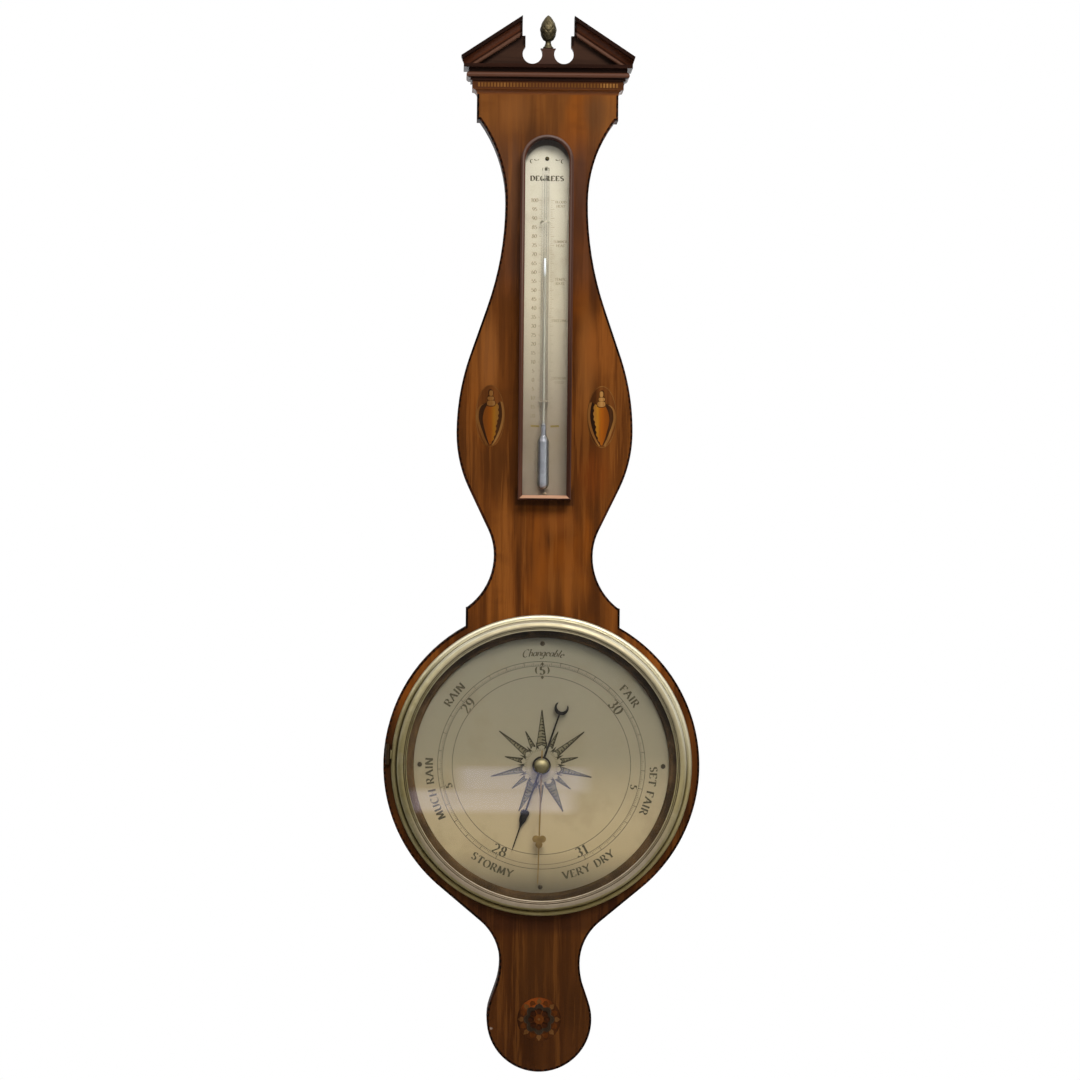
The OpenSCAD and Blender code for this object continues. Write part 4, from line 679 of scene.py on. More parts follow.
class Piece:
    """Gathers closed solids, drawn as seen from the front in millimetres, into one object."""

    def __init__(self):
        self.points = []
        self.faces = []
        self.looks = []

    def sweep(self, rings, look=0, closed=False):
        """A skin through rings of points in the row frame, with two ends or closed on itself."""
        first, n, rows = len(self.points), len(rings[0]), len(rings)
        faces = []
        for k in range(rows if closed else rows - 1):
            low, high = first + k * n, first + (k + 1) % rows * n
            for i in range(n):
                j = (i + 1) % n
                faces.append([low + i, low + j, high + j, high + i])
        if not closed:
            faces.append([first + i for i in reversed(range(n))])
            faces.append([first + (rows - 1) * n + i for i in range(n)])
        for ring in rings:
            self.points += ring
        self.faces += faces
        self.looks += [look] * len(faces)

    def prism(self, outline, back, front, look=0):
        """A flat outline of (x, z) points between two depths."""
        self.sweep([[place(x, depth, z) for x, z in outline] for depth in (back, front)], look)

    def strip(self, left, right, back, front, look=0, closed=False):
        """A band between two lines of (x, z) points, between two depths."""
        rings = []
        for a, b in zip(left, right):
            corners = ((a, back), (b, back), (b, front), (a, front))
            rings.append([place(x, depth, z) for (x, z), depth in corners])
        self.sweep(rings, look, closed)

    def build(self, name, looks, smooth=False):
        mesh = bpy.data.meshes.new(name)
        mesh.from_pydata(self.points, [], self.faces)
        for look in looks:
            mesh.materials.append(look)
        mesh.polygons.foreach_set("material_index", self.looks)
        mesh.polygons.foreach_set("use_smooth", [smooth] * len(self.faces))
        skin = bmesh.new()
        skin.from_mesh(mesh)
        bmesh.ops.recalc_face_normals(skin, faces=skin.faces)
        skin.to_mesh(mesh)
        skin.free()
        obj = bpy.data.objects.new(name, mesh)
        bpy.context.scene.collection.objects.link(obj)
        return obj


def bow(cx, cy, rx, ry, start, end, steps=10):
    """Points along an arc of an ellipse, angles in degrees from the right."""
    turns = [math.radians(start + (end - start) * i / steps) for i in range(steps + 1)]
    return [(cx + rx * math.cos(t), cy + ry * math.sin(t)) for t in turns]


def disc(radius, steps):
    """The outline of a circle round the middle."""
    return bow(0, 0, radius, radius, 0, 360, steps)[:-1]


def polar(radius, angle):
    """A point at a radius and an angle clockwise from the top."""
    return (radius * math.sin(math.radians(angle)), radius * math.cos(math.radians(angle)))


def fan(angle, *spots):
    """Points at their radii and at their turns from one angle."""
    return [polar(radius, angle + turn) for radius, turn in spots]


# LETTERING


def ring(cx, cy, rx, ry, steps=18):
    return bow(cx, cy, rx, ry, 0, 360, steps)


def bowl(cx, cy, rx, ry):
    """A half round that starts and ends at an upright."""
    return [(10, cy + ry)] + bow(cx, cy, rx, ry, 90, -90) + [(10, cy - ry)]


UPRIGHT = [(10, 0), (10, 100)]
TOP_ARM = [(10, 98), (58, 98), (60, 82)]
MIDDLE_ARM = [(10, 52), (46, 52)]
SMALL_ARCH = bow(28, 33, 18, 22, 180, 0) + [(46, 8), (55, 4)]
SMALL_RING = ring(26, 28, 20, 27, 16)
# Each sign is its width and its pen strokes, in hundredths of its height
SIGNS = {
    "A": (84, [[(0, 0), (42, 100)], [(42, 100), (84, 0)], [(16, 36), (68, 36)]]),
    "B": (68, [UPRIGHT, bowl(34, 75.5, 24, 23.5), bowl(36, 26.5, 28, 25.5)]),
    "C": (80, [bow(44, 50, 40, 50, 50, 310, 16)]),
    "D": (80, [UPRIGHT, bowl(32, 50, 44, 49)]),
    "E": (66, [UPRIGHT, TOP_ARM, MIDDLE_ARM, [(10, 2), (60, 2), (64, 20)]]),
    "F": (62, [UPRIGHT, TOP_ARM, MIDDLE_ARM]),
    "G": (86, [bow(44, 50, 40, 50, 50, 330, 16), [(78, 42), (78, 4)], [(58, 42), (88, 42)]]),
    "H": (82, [UPRIGHT, [(72, 0), (72, 100)], [(10, 52), (72, 52)]]),
    "I": (30, [[(15, 0), (15, 100)]]),
    "L": (64, [UPRIGHT, [(10, 2), (58, 2), (62, 22)]]),
    "M": (100, [[(8, 0), (16, 100)], [(16, 100), (50, 8)], [(50, 8), (84, 100)], [(84, 100), (92, 0)]]),
    "N": (84, [UPRIGHT, [(10, 100), (74, 0)], [(74, 0), (74, 100)]]),
    "O": (86, [ring(43, 50, 40, 50, 24)]),
    "P": (66, [UPRIGHT, bowl(34, 73, 26, 26)]),
    "R": (76, [UPRIGHT, bowl(34, 74, 25, 25), [(34, 49), (72, 0)]]),
    "S": (62, [bow(31, 74.5, 23, 24.5, 30, 270, 9) + bow(31, 25, 25, 25, 90, -150, 9)]),
    "T": (76, [[(38, 0), (38, 100)], [(4, 80), (6, 98), (70, 98), (72, 80)]]),
    "U": (82, [[(10, 100), (10, 30)] + bow(41, 31, 31, 30, 180, 360) + [(72, 100)]]),
    "V": (82, [[(0, 100), (41, 0)], [(41, 0), (82, 100)]]),
    "X": (80, [[(0, 100), (80, 0)], [(2, 0), (76, 100)]]),
    "Y": (80, [[(0, 100), (40, 48)], [(80, 100), (40, 48)], [(40, 50), (40, 0)]]),
    "Z": (72, [[(6, 82), (8, 98), (66, 98)], [(66, 98), (4, 2)], [(4, 2), (62, 2), (66, 20)]]),
    "0": (62, [ring(31, 50, 27, 50, 20)]),
    "1": (42, [[(22, 0), (22, 100)], [(22, 98), (6, 82)]]),
    "2": (60, [bow(29, 72, 24, 28, 160, -30) + [(6, 5)], [(4, 3), (54, 3), (57, 16)]]),
    "3": (58, [bow(27, 75, 22, 25, 150, -90), bow(27, 25, 26, 26, 90, -150)]),
    "4": (64, [[(46, 0), (46, 100)], [(45, 98), (2, 30)], [(2, 30), (62, 30)]]),
    "5": (58, [[(52, 97), (12, 97)], [(12, 98), (10, 56)], bow(26, 30, 28, 30, 125, -150)]),
    "6": (60, [ring(30, 30, 25, 30), bow(43, 42, 38, 57, 95, 180)]),
    "7": (56, [[(4, 97), (54, 97)], [(53, 96), (20, 0)]]),
    "8": (60, [ring(30, 76, 20, 24, 16), ring(30, 26, 26, 26)]),
    "9": (60, [ring(30, 70, 25, 30), bow(17, 58, 38, 57, 0, -85)]),
    "a": (52, [SMALL_RING, [(46, 55), (46, 8), (54, 4)]]),
    "b": (52, [[(10, 2), (10, 100)], ring(28, 28, 19, 27, 16)]),
    "e": (50, [[(9, 30), (44, 34)] + bow(26, 28, 19, 27, 20, 310)]),
    "g": (52, [SMALL_RING, [(46, 55), (46, -20)] + bow(26, -20, 20, 20, 0, -150)]),
    "h": (54, [[(10, 1), (10, 100)], SMALL_ARCH]),
    "l": (26, [[(10, 100), (10, 8), (20, 4)]]),
    "n": (54, [[(10, 1), (10, 55)], SMALL_ARCH]),
    " ": (42, []),
}
PEN_ANGLE = math.radians(14)
HAIRLINE = 0.28
SERIF = 13


def neighbours(points, i):
    return points[max(i - 1, 0)], points[min(i + 1, len(points) - 1)]


def pen_line(points, nib):
    """Both edges of a stroke drawn with a broad nib, so that uprights are thick and levels thin."""
    left, right = [], []
    for i, (x, y) in enumerate(points):
        before, after = neighbours(points, i)
        angle = math.atan2(after[1] - before[1], after[0] - before[0])
        half = nib / 2 * max(abs(math.sin(angle - PEN_ANGLE)), HAIRLINE)
        left.append((x - half * math.sin(angle), y + half * math.cos(angle)))
        right.append((x + half * math.sin(angle), y - half * math.cos(angle)))
    return left, right


def serifs(strokes):
    """Short level bars at the free ends of straight strokes on the two writing lines."""
    ends = [p for s in strokes for p in (s[0], s[-1])]
    bars = []
    for s in strokes:
        for x, y in (s[0], s[-1]):
            if len(s) == 2 and y in (0, 100) and s[0][1] != s[1][1] and ends.count((x, y)) == 1:
                level = min(max(y, 2), 98)
                bars.append([(x - SERIF, level), (x + SERIF, level)])
    return bars


def letters(piece, text, size, to_plane, depth, nib=17, spacing=16, slant=0.0, look=0):
    """Engraves text, centred on the place that to_plane maps the origin to."""
    unit = size / 100
    pen = (spacing - sum(SIGNS[c][0] + spacing for c in text)) / 2
    for c in text:
        width, strokes = SIGNS[c]
        for stroke in strokes + serifs(strokes):
            edges = pen_line([(pen + x + slant * y, y) for x, y in stroke], nib)
            left, right = ([to_plane(u * unit, v * unit) for u, v in edge] for edge in edges)
            piece.strip(left, right, *depth, look)
        pen += width + spacing


def on_dial(angle, radius, outward=True, height=0.0):
    """Maps writing to the dial: tops outward on the upper half, inward on the lower half."""

    def to_plane(u, v):
        turn = math.degrees(u / radius)
        if outward:
            return polar(radius + v, angle + turn)
        return polar(radius + height - v, angle - turn)

    return to_plane


def on_plate(x, z):
    return lambda u, v: (x + u, z + v)


# DIAL

# Radii of the ticks: inner end, outer ends by value, and where their half widths are measured
TICK_R = 91.4
TENTH_R = 95.5
TWENTIETH_R = 94.4
HUNDREDTH_R = 93.2
WIDTH_R = 93
TENTH_HALF = 0.26
TICK_HALF = 0.17
CIRCLES = ((TENTH_R, 0.5), (TICK_R, 0.36), (82.1, 0.5))
INCH_ANGLE = 360 / 3.5
WORD_R = 100.0
WORD_SIZE = 6.8
TOP_WORD_R = 100.6
TOP_WORD_SIZE = 6.6
WEATHER = (
    ("STORMY", -154.29, False), ("MUCH RAIN", -102.86, True), ("RAIN", -51.43, True),
    ("FAIR", 51.43, True), ("SET FAIR", 102.86, True), ("VERY DRY", 154.29, False),
)
INCH_R = 82.7
INCH_SIZE = 8.6
INCHES = (("28", -154.29, False), ("29", -51.43, True), ("30", 51.43, True), ("31", 154.29, False))
HALF_R = 87.2
HALVES = ((-102.86, 6.0), (0, 7.2), (102.86, 6.0))
# Brackets beside the top figure: place, outer and inner reach and half height, and the points' places
BRACKET = (4.2, 87.4)
BRACKET_REACH = (2.6, 1.0)
BRACKET_HALF = 3.4
POINT_LEVELS = (93.2, 80.9)
# Tips of the star's long rays, clockwise from the top, and those that are wide
LONG_TIPS = (51.0, 50.0, 47.5, 47.0, 47.0, 47.5, 50.0)
WIDE_RAYS = (0, 3, 4)
WIDE_HALF = 4.6
SLIM_HALF = 2.9
LONG_FOOT = 17.2
# Foot, tip and half width of the short rays
SHORT_RAY = (18.0, 34.5, 2.2)
HATCH_STEP = 2.7
HATCH_LEAN = 0.8
WEDGE = ((14.8, -6), (22.4, 0), (14.8, 6), (16.2, 0))
RING_STROKE = (13.2, 15.4)
RAY_CUT = (DIAL_CUT[0], CASE_FRONT + 1.5 * ENGRAVED)


def dial_circles(p):
    for radius, width in CIRCLES:
        inner, outer = ([polar(radius + s * width / 2, 2 * i) for i in range(180)] for s in (-1, 1))
        p.strip(inner, outer, *DIAL_CUT, 0, True)


def dial_ticks(p):
    """Hundredths of an inch between the two outer circles, with longer marks at fives and tens."""
    for i in range(301):
        angle = (i / 100 - 1.5) * INCH_ANGLE
        reach = TENTH_R if i % 10 == 0 else TWENTIETH_R if i % 5 == 0 else HUNDREDTH_R
        half = math.degrees((TENTH_HALF if i % 10 == 0 else TICK_HALF) / WIDTH_R)
        edges = (fan(angle, (TICK_R, edge), (reach, edge)) for edge in (-half, half))
        p.strip(*edges, *DIAL_CUT)


def dial_words(p):
    for text, angle, outward in WEATHER:
        letters(p, text, WORD_SIZE, on_dial(angle, WORD_R, outward, WORD_SIZE), DIAL_CUT, 25, 20)
    letters(p, "Changeable", TOP_WORD_SIZE, on_dial(0, TOP_WORD_R), DIAL_CUT, 19, 5, 0.42)
    for text, angle, outward in INCHES:
        letters(p, text, INCH_SIZE, on_dial(angle, INCH_R, outward, INCH_SIZE), DIAL_CUT, 22, 20)
    for angle, size in HALVES:
        letters(p, "5", size, on_dial(angle, HALF_R - size / 2), DIAL_CUT, 28)


def half_inch_flourish(p):
    """Brackets beside the figure at the top of the dial, and a point above and below it."""
    x, z = BRACKET
    for side in (-1, 1):
        edges = (bow(side * x, z, side * reach, BRACKET_HALF, -90, 90, 12) for reach in BRACKET_REACH)
        p.strip(*edges, *DIAL_CUT)
    for z in POINT_LEVELS:
        p.prism([(0, z + 1.9), (1.5, z), (0, z - 1.9), (-1.5, z)], *DIAL_CUT)


def stroke(p, a, b, width, depth, look):
    """A straight engraved line of even width."""
    dx, dz = b[0] - a[0], b[1] - a[1]
    share = width / 2 / max(math.hypot(dx, dz), 1e-6)
    u, v = -dz * share, dx * share
    corners = [(x + s * u, z + s * v) for (x, z), s in ((a, -1), (b, -1), (b, 1), (a, 1))]
    p.prism(corners, *depth, look)


def star_ray(p, angle, foot, tip, half):
    """A ray of the star: a worn ground, outlined and hatched, darker on one side."""

    def spot(along, across):
        x, z = polar(along, angle)
        dx, dz = polar(across, angle + 90)
        return (x + dx, z + dz)

    p.prism([spot(tip, 0), spot(foot, half), spot(foot + 2, 0), spot(foot, -half)], *DIAL_CUT, 1)
    for side in (-1, 1):
        stroke(p, spot(foot, side * half), spot(tip, 0), 1.1 if side > 0 else 0.7, RAY_CUT, 2)
        stroke(p, spot(foot, side * half), spot(foot + 2, 0), 1.0, RAY_CUT, 2)
    rows = int((tip - foot) / HATCH_STEP)
    for i in range(1, rows):
        t = i / rows
        along = foot + (tip - foot) * t
        reach = half * (1 - t)
        ridge = spot(along + HATCH_LEAN, 0)
        stroke(p, ridge, spot(along, reach), 1.3, RAY_CUT, 2)
        if i % 2:
            stroke(p, ridge, spot(along, -reach), 1.0, RAY_CUT, 2)


def dial_star(p):
    """Seven long rays, seven short ones, dark wedges between their feet and a ring of short strokes."""
    rays = len(LONG_TIPS)
    turn = 360 / rays
    for i, long_tip in enumerate(LONG_TIPS):
        star_ray(p, (i + 0.5) * turn, *SHORT_RAY)
        star_ray(p, i * turn, LONG_FOOT, long_tip, WIDE_HALF if i in WIDE_RAYS else SLIM_HALF)
        for at in (0.26, 0.74):
            p.prism(fan((i + at) * turn, *WEDGE), *DIAL_CUT, 2)
    for i in range(8 * rays):
        angle = (i + 0.5) * turn / 8
        stroke(p, *(polar(radius, angle) for radius in RING_STROKE), 0.6, DIAL_CUT, 1)


def engrave_dial():
    p = Piece()
    for engrave in (dial_circles, dial_ticks, dial_words, half_inch_flourish, dial_star):
        engrave(p)
    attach(p.build("dial_engraving", [INK, STAR_INK, DEEP_INK]), "case")


# THERMOMETER

DEGREE = 1.652
ZERO_Z = 354.5
# Where marks start beside the stem, and the reach and half thickness of long and short ones
MARK_START = 3.6
LONG_MARK = (7.0, 0.13)
SHORT_MARK = (5.4, 0.08)
FIGURE_X = -11.2
FIGURE_SIZE = 3.3
WARM_X = 12.9
WARM_SIZE = 2.3
WARM_LINES = (0.6, -3.2)
WARM_WORDS = ((98, "BLOOD", "HEAT"), (76, "SUMMER", "HEAT"), (55, "TEMPE", "RATE"), (32, "FREEZING", ""),
              (0, "EXTREME", "COLD"))
# Scrolls over the heading: distance from the middle, height, radii, angles and nib
SCROLLS = ((9.8, 557.8, 2.2, 1.4, 200, 340, 1.2), (14.2, 555.6, 1.3, 1.8, 60, 300, 1.0))
# The wire across the bulb, to one side
WIRE_EDGES = (((5.2, 312.8), (13.0, 313.1)), ((5.2, 310.9), (13.0, 311.3)))


def engrave_scale():
    """Degrees beside the stem, figures on the left and plain words for warmth on the right."""
    p = Piece()
    for degree in range(-20, 101):
        z = ZERO_Z + DEGREE * degree
        long_mark = degree % 5 == 0
        reach, half = LONG_MARK if long_mark else SHORT_MARK
        for side in (-1, 1):
            edges = ([(side * x, z + edge) for x in (MARK_START, reach)] for edge in (-half, half))
            p.strip(*edges, *SCALE_CUT, 1)
        if long_mark:
            spot = on_plate(FIGURE_X, z - FIGURE_SIZE / 2)
            letters(p, str(abs(degree)), FIGURE_SIZE, spot, SCALE_CUT, 20, 12, look=1)
    for degree, *words in WARM_WORDS:
        for word, rise in zip(words, WARM_LINES):
            spot = on_plate(WARM_X, ZERO_Z + DEGREE * degree + rise)
            letters(p, word, WARM_SIZE, spot, SCALE_CUT, spacing=12, look=1)
    letters(p, "DEGREES", 4.6, on_plate(0, 537.6), SCALE_CUT, 34, 26)
    letters(p, "F", 3.4, on_plate(-0.4, 547.0), SCALE_CUT, 30)
    for x, z, rx, rz, start, end, nib in SCROLLS:
        for side in (-1, 1):
            p.strip(*pen_line(bow(side * x, z, rx, rz, start, end, 8), nib), *SCALE_CUT)
    for side in (-1, 1):
        p.strip(*([(side * x, z) for x, z in edge] for edge in WIRE_EDGES), *SCALE_CUT, 2)
    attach(p.build("scale_engraving", [INK, FAINT_INK, WIRE]), "case")


# STRINGING ALONG THE OUTLINE

BLOCK = 2.75
STRING_WIDTH = 2.0
# Keeps the blocks just inside the edge of the case
INSIDE = 0.9994


def arc(circle, start, end, inset):
    """Matching points on an arc of a circle and on its inset arc, about one block apart."""
    x, z, radius = circle
    steps = max(1, round(abs(math.radians(end - start)) * radius / BLOCK))
    outer, inner = (bow(x, z, r, r, start, end, steps) for r in (radius, radius + inset))
    return list(zip(outer, inner))


def bearing(a, b):
    return math.degrees(math.atan2(b[1] - a[1], b[0] - a[0]))


def lean(a, b):
    """The angle at the first circle between the line of centres and the spot where the circles meet."""
    return math.degrees(math.acos(min(1, (a[2] + b[2]) / math.dist(a[:2], b[:2]))))


def outline_pairs(w):
    """Outer and inner edge of the stringing up the right side, from the foot to the cornice."""
    foot = (0, -233.7, 48.2)
    foot_hollow = (102.9, -181.9, 66.0)
    body_hollow = (86.6, -181.9, 49.7)
    body = (0, 0, 145.5)
    shoulder_half, shoulder_z = 70.8, 144.71
    shoulder_hollow = (104.6, 192.6, 59.3)
    neck_hollow = (100.5, 192.6, 55.2)
    bulge_low = (-38.6, 306.6, 119.6)
    bulge_high = (-135.0, 306.6, 216.0)
    waist_low = (336.8, 518.2, 299.0)
    waist_high = (166.6, 518.2, 128.8)
    head_half, head_z, cornice_z = 65.0, 593.7, 617.0
    foot_end = bearing(foot, foot_hollow) - lean(foot, foot_hollow)
    body_start = bearing(body, body_hollow) + lean(body, body_hollow)
    body_end = math.degrees(math.acos(shoulder_half / body[2]))
    ledge = math.degrees(math.asin((shoulder_hollow[1] - shoulder_z) / shoulder_hollow[2]))
    bulge_start = bearing(bulge_low, neck_hollow) + lean(bulge_low, neck_hollow)
    bulge_end = bearing(bulge_high, waist_low) - lean(bulge_high, waist_low)
    head_ledge = math.degrees(math.asin((head_z - waist_high[1]) / waist_high[2]))
    pairs = arc(foot, -90, foot_end, -w)
    pairs += arc(foot_hollow, foot_end + 180, 180, w)
    pairs += arc(body_hollow, 180, body_start + 180, w)
    pairs += arc(body, body_start, body_end, -w)
    pairs += [((shoulder_half, shoulder_z), (shoulder_half - w, shoulder_z - w))]
    pairs += arc(shoulder_hollow, 180 + ledge, 180, w)
    pairs += arc(neck_hollow, 180, bulge_start + 180, w)
    pairs += arc(bulge_low, bulge_start, 0, -w)
    pairs += arc(bulge_high, 0, bulge_end, -w)
    pairs += arc(waist_low, bulge_end + 180, 180, w)
    pairs += arc(waist_high, 180, 180 - head_ledge, w)
    for i in range(7):
        z = head_z + (cornice_z - head_z) * i / 6
        pairs.append(((head_half, z), (head_half - w, max(z, head_z + w))))
    return [p for i, p in enumerate(pairs) if i == 0 or math.dist(p[0], pairs[i - 1][0]) > 0.05]


def lay_stringing():
    """Short dark and red-brown blocks let in all round the edge of the front."""
    p = Piece()
    pairs = outline_pairs(STRING_WIDTH)
    for side in (-1, 1):
        for k, ((o0, i0), (o1, i1)) in enumerate(zip(pairs, pairs[1:])):
            corners = [(side * x * INSIDE, z) for x, z in (o0, o1, i1, i0)]
            p.prism(corners, CASE_FRONT, FACE, k % 2)
    string = p.build("edge_chequer", [STRING_DARK, STRING_RED])
    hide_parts("edge_stringing")
    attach(string, "case")


# SHELL AND FLOWER INLAY

# Lines of a conch from its middle, in millimetres: outward and up
SHELL_BACK = ((4.6, 11.6), (7.6, 9.6), (9.8, 6.0), (10.6, 1.0), (10.3, -3.5), (8.8, -9.0), (6.6, -15.0),
              (4.3, -21.0), (1.4, -26.4))
SHELL_SIDE = ((2.6, 10.6), (4.4, 7.6), (5.7, 4.4), (6.6, 0.2), (6.8, -4.0), (5.9, -9.0), (4.5, -14.2),
              (2.9, -20.0), (0.6, -26.2))
SHELL_MOUTH = ((-7.4, 11.6), (-7.9, 6.4), (-8.0, 1.0), (-7.2, -4.0), (-6.0, -8.6), (-5.6, -13.6),
               (-4.6, -18.4), (-2.6, -23.2), (-0.6, -26.2))
SHELL_SLIT = ((-9.2, 13.4), (-10.4, 8.0), (-10.9, 2.0), (-10.5, -3.5), (-9.3, -9.0), (-7.6, -14.5),
              (-5.4, -19.6), (-3.2, -23.8), (-1.4, -26.6))
SHELL_LIP = ((-11.2, 13.0), (-12.6, 7.6), (-13.0, 1.4), (-12.4, -5.2), (-10.9, -11.4), (-8.9, -16.8),
             (-6.6, -21.2), (-4.4, -24.8), (-2.4, -27.2))
SHELL_OVAL = (13.4, 28.4)
OVAL_LINE = 0.5
WHORLS = ((-0.7, 11.8, 3.7, 2.5), (-0.3, 16.2, 3.0, 1.7), (-0.6, 20.9, 1.7, 2.6))


def inlaid(rise):
    """Back and front of an inlay that stands out by a share of the usual rise."""
    return (FACE - 0.4, FACE + INLAID * rise)


def smooth_line(points, steps=4):
    """More points along a line through a few, on even curves between them."""
    line = []
    for i in range(len(points) - 1):
        p0, p1, p2, p3 = (points[min(max(i + k, 0), len(points) - 1)] for k in (-1, 0, 1, 2))
        for n in range(steps):
            t = n / steps
            line.append(tuple(
                0.5 * (2 * b + (c - a) * t + (2 * a - 5 * b + 4 * c - d) * t ** 2
                       + (3 * b - a - 3 * c + d) * t ** 3)
                for a, b, c, d in zip(p0, p1, p2, p3)))
    return line + [tuple(points[-1])]


def cushion(u, v, half_w, half_h):
    """A rounded oblong outline."""
    square = [tuple(math.copysign(abs(c) ** 0.65, c) for c in spot) for spot in disc(1, 28)]
    return [(u + half_w * a, v + half_h * b) for a, b in square]


def lay_shell(side, name):
    """One conch: gilded body, scorched back and toothed mouth, pale lip, spire and oval line."""
    p = Piece()

    def put(points):
        return [(SHELL_SHIFT + side * (SHELL_X + u), SHELL_Z + v) for u, v in points]

    oval = (put(bow(0, 0, *(r - d for r in SHELL_OVAL), 0, 360, 60)[:-1]) for d in (0, OVAL_LINE))
    p.strip(*oval, *inlaid(0.8), 1, True)
    back, flank, mouth, slit, lip = (
        smooth_line(line) for line in (SHELL_BACK, SHELL_SIDE, SHELL_MOUTH, SHELL_SLIT, SHELL_LIP))
    teeth = [(u + (0.7 if i % 4 < 2 else -0.2), v) for i, (u, v) in enumerate(mouth)]
    rim = [(u + 2.2, v - 0.6) for u, v in back]
    bands = ((back, rim, 0.85, 1), (mouth, flank, 1.0, 0), (flank, back, 0.7, 2), (slit, teeth, 1.3, 2),
             (lip, slit, 0.9, 3))
    for left, right, rise, look in bands:
        p.strip(put(left), put(right), *inlaid(rise), look)
    for i, (u, v, w, h) in enumerate(WHORLS):
        p.prism(put(cushion(u, v - 0.2, w + 0.5, h + 0.5)), *inlaid(1.5 + 0.2 * i), 2)
        p.prism(put(cushion(u, v, w, h)), *inlaid(1.9 + 0.2 * i), 3)
    inlay = p.build(name, [SATINWOOD, BOXWOOD, SCORCHED, PALE_BOX])
    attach(inlay, "case")
    return inlay


def lay_shells():
    left = lay_shell(-1, "shell_inlay_left")
    lay_shell(1, "shell_inlay_right")
    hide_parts("shell_figures")


FLOWER_Z = -233.7
PETALS = 8
# Radii and turns of a petal's tip, and of a flame, whose turns are shares of half a petal
PETAL_TIP = ((14.6, -7), (16.8, -8), (20.0, 0), (16.8, 8), (14.6, 7))
FLAME = ((14.2, 0.5), (17.4, 0.7), (18.4, 1), (17.4, 1.3), (14.2, 1.5))
HEART_R = 4.5
EYE_R = 1.2


def lay_flower():
    """A round flower: pale tips, orange flames between them, dark scalloped leaves, a heart and an eye."""
    p = Piece()

    def put(points):
        return [(x, FLOWER_Z + z) for x, z in points]

    def scallop(angle, base, rise):
        shares = (-1, -0.5, 0, 0.5, 1)
        return fan(angle, *((base + rise * math.cos(math.radians(90 * t)), wide * t) for t in shares))

    wide = 180 / PETALS
    for i in range(PETALS):
        angle = 2 * wide * i
        p.prism(put(fan(angle, *PETAL_TIP)), *inlaid(0.8), 1)
        flame = fan(angle, *((radius, wide * share) for radius, share in FLAME))
        p.prism(put(flame), *inlaid(0.6), 3)
        outer = scallop(angle, 11.6, 2.9)
        p.strip(put(outer), put(scallop(angle, 8.6, 1.6)), *inlaid(1.0), 2)
        rib = [(x * 0.97, z * 0.97) for x, z in outer]
        p.strip(*(put(edge) for edge in pen_line(rib, 0.7)), *inlaid(1.4), 0)
    p.prism(put(disc(HEART_R, 36)), *inlaid(1.0), 3)
    p.prism(put(disc(EYE_R, 18)), *inlaid(1.5), 1)
    flower = p.build("flower_inlay", [FLOWER_RIM, FLOWER_TIP, FLOWER_LEAF, FLOWER_FLAME])
    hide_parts("flower_petals")
    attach(flower, "case")


# BACK

HINGE_LEVELS = (360.0, 100.0, -110.0)
HINGE_X = 33.0
LEAF_MIDDLE = 7.4
BACK_DEPTH = 3.0
SCREW_R = 2.1
SLOT_HALF = 0.3
HEAD_BACK = BACK_DEPTH + 0.3


def screw_head(p, x, z, turn):
    """A slotted head: two halves of a disc either side of the slot, and a thin disc under them."""
    reach = math.degrees(math.asin(SLOT_HALF / SCREW_R))
    for start in (turn + reach, turn + 180 + reach):
        half = bow(x, z, SCREW_R, SCREW_R, start, start + 180 - 2 * reach)
        p.prism(half, BACK_DEPTH - 0.3, HEAD_BACK)
    p.prism([(x + u, z + v) for u, v in disc(SCREW_R, 20)], BACK_DEPTH - 0.08, HEAD_BACK)


def screw_hinges():
    """Three screws in each leaf of the back door's hinges."""
    for name, side, body in (("hinge_screws_case", 1, "case"), ("hinge_screws_door", -1, "back_door")):
        p = Piece()
        for k, level in enumerate(HINGE_LEVELS):
            for step in (-12, 0, 12):
                screw_head(p, HINGE_X + side * LEAF_MIDDLE, level + step, 40 * k + 7 * step + 25 * side)
        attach(p.build(name, [STEEL]), body)


# HANDS

HAND_ANGLE = math.radians(198.7)
HAND_BACK = 50.8
HAND_FRONT = 51.6
BARB = ((43.8, 0.0), (43.2, 2.0), (44.6, 3.9), (46.8, 4.2), (49.6, 3.3), (53.6, 2.1), (58.6, 1.2),
        (62.0, 0.0))
MOON_AT = 55.9
MOON_R = 6.6
MOON_HOLLOW = 4.7
MOON_OFFSET = 1.5
# Radii of the collet and how far they stand in front of the hand
COLLET = ((8.3, 0), (8.5, 0.5), (7.9, 1.1), (4.0, 1.7))


def fit_hand():
    """A fuller arrow head, crescent and collet over the blued hand."""
    p = Piece()
    depth = (HAND_BACK - 0.1, HAND_FRONT + 0.1)
    sin, cos = math.sin(HAND_ANGLE), math.cos(HAND_ANGLE)

    def put(points):
        return [(a * sin + b * cos, a * cos - b * sin) for a, b in points]

    p.prism(put(BARB + tuple((a, -b) for a, b in BARB[-2:0:-1])), *depth)
    outer = bow(-MOON_AT, 0, -MOON_R, MOON_R, 60, 300, 32)
    inner = bow(-MOON_AT - MOON_OFFSET, 0, -MOON_HOLLOW, MOON_HOLLOW, 60, 300, 32)
    p.strip(put(outer), put(inner), *depth)
    p.sweep([[place(x, HAND_FRONT + rise, z) for x, z in disc(r, 48)] for r, rise in COLLET])
    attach(p.build("hand_fittings", [BLUED]), "movement")


# FINIAL

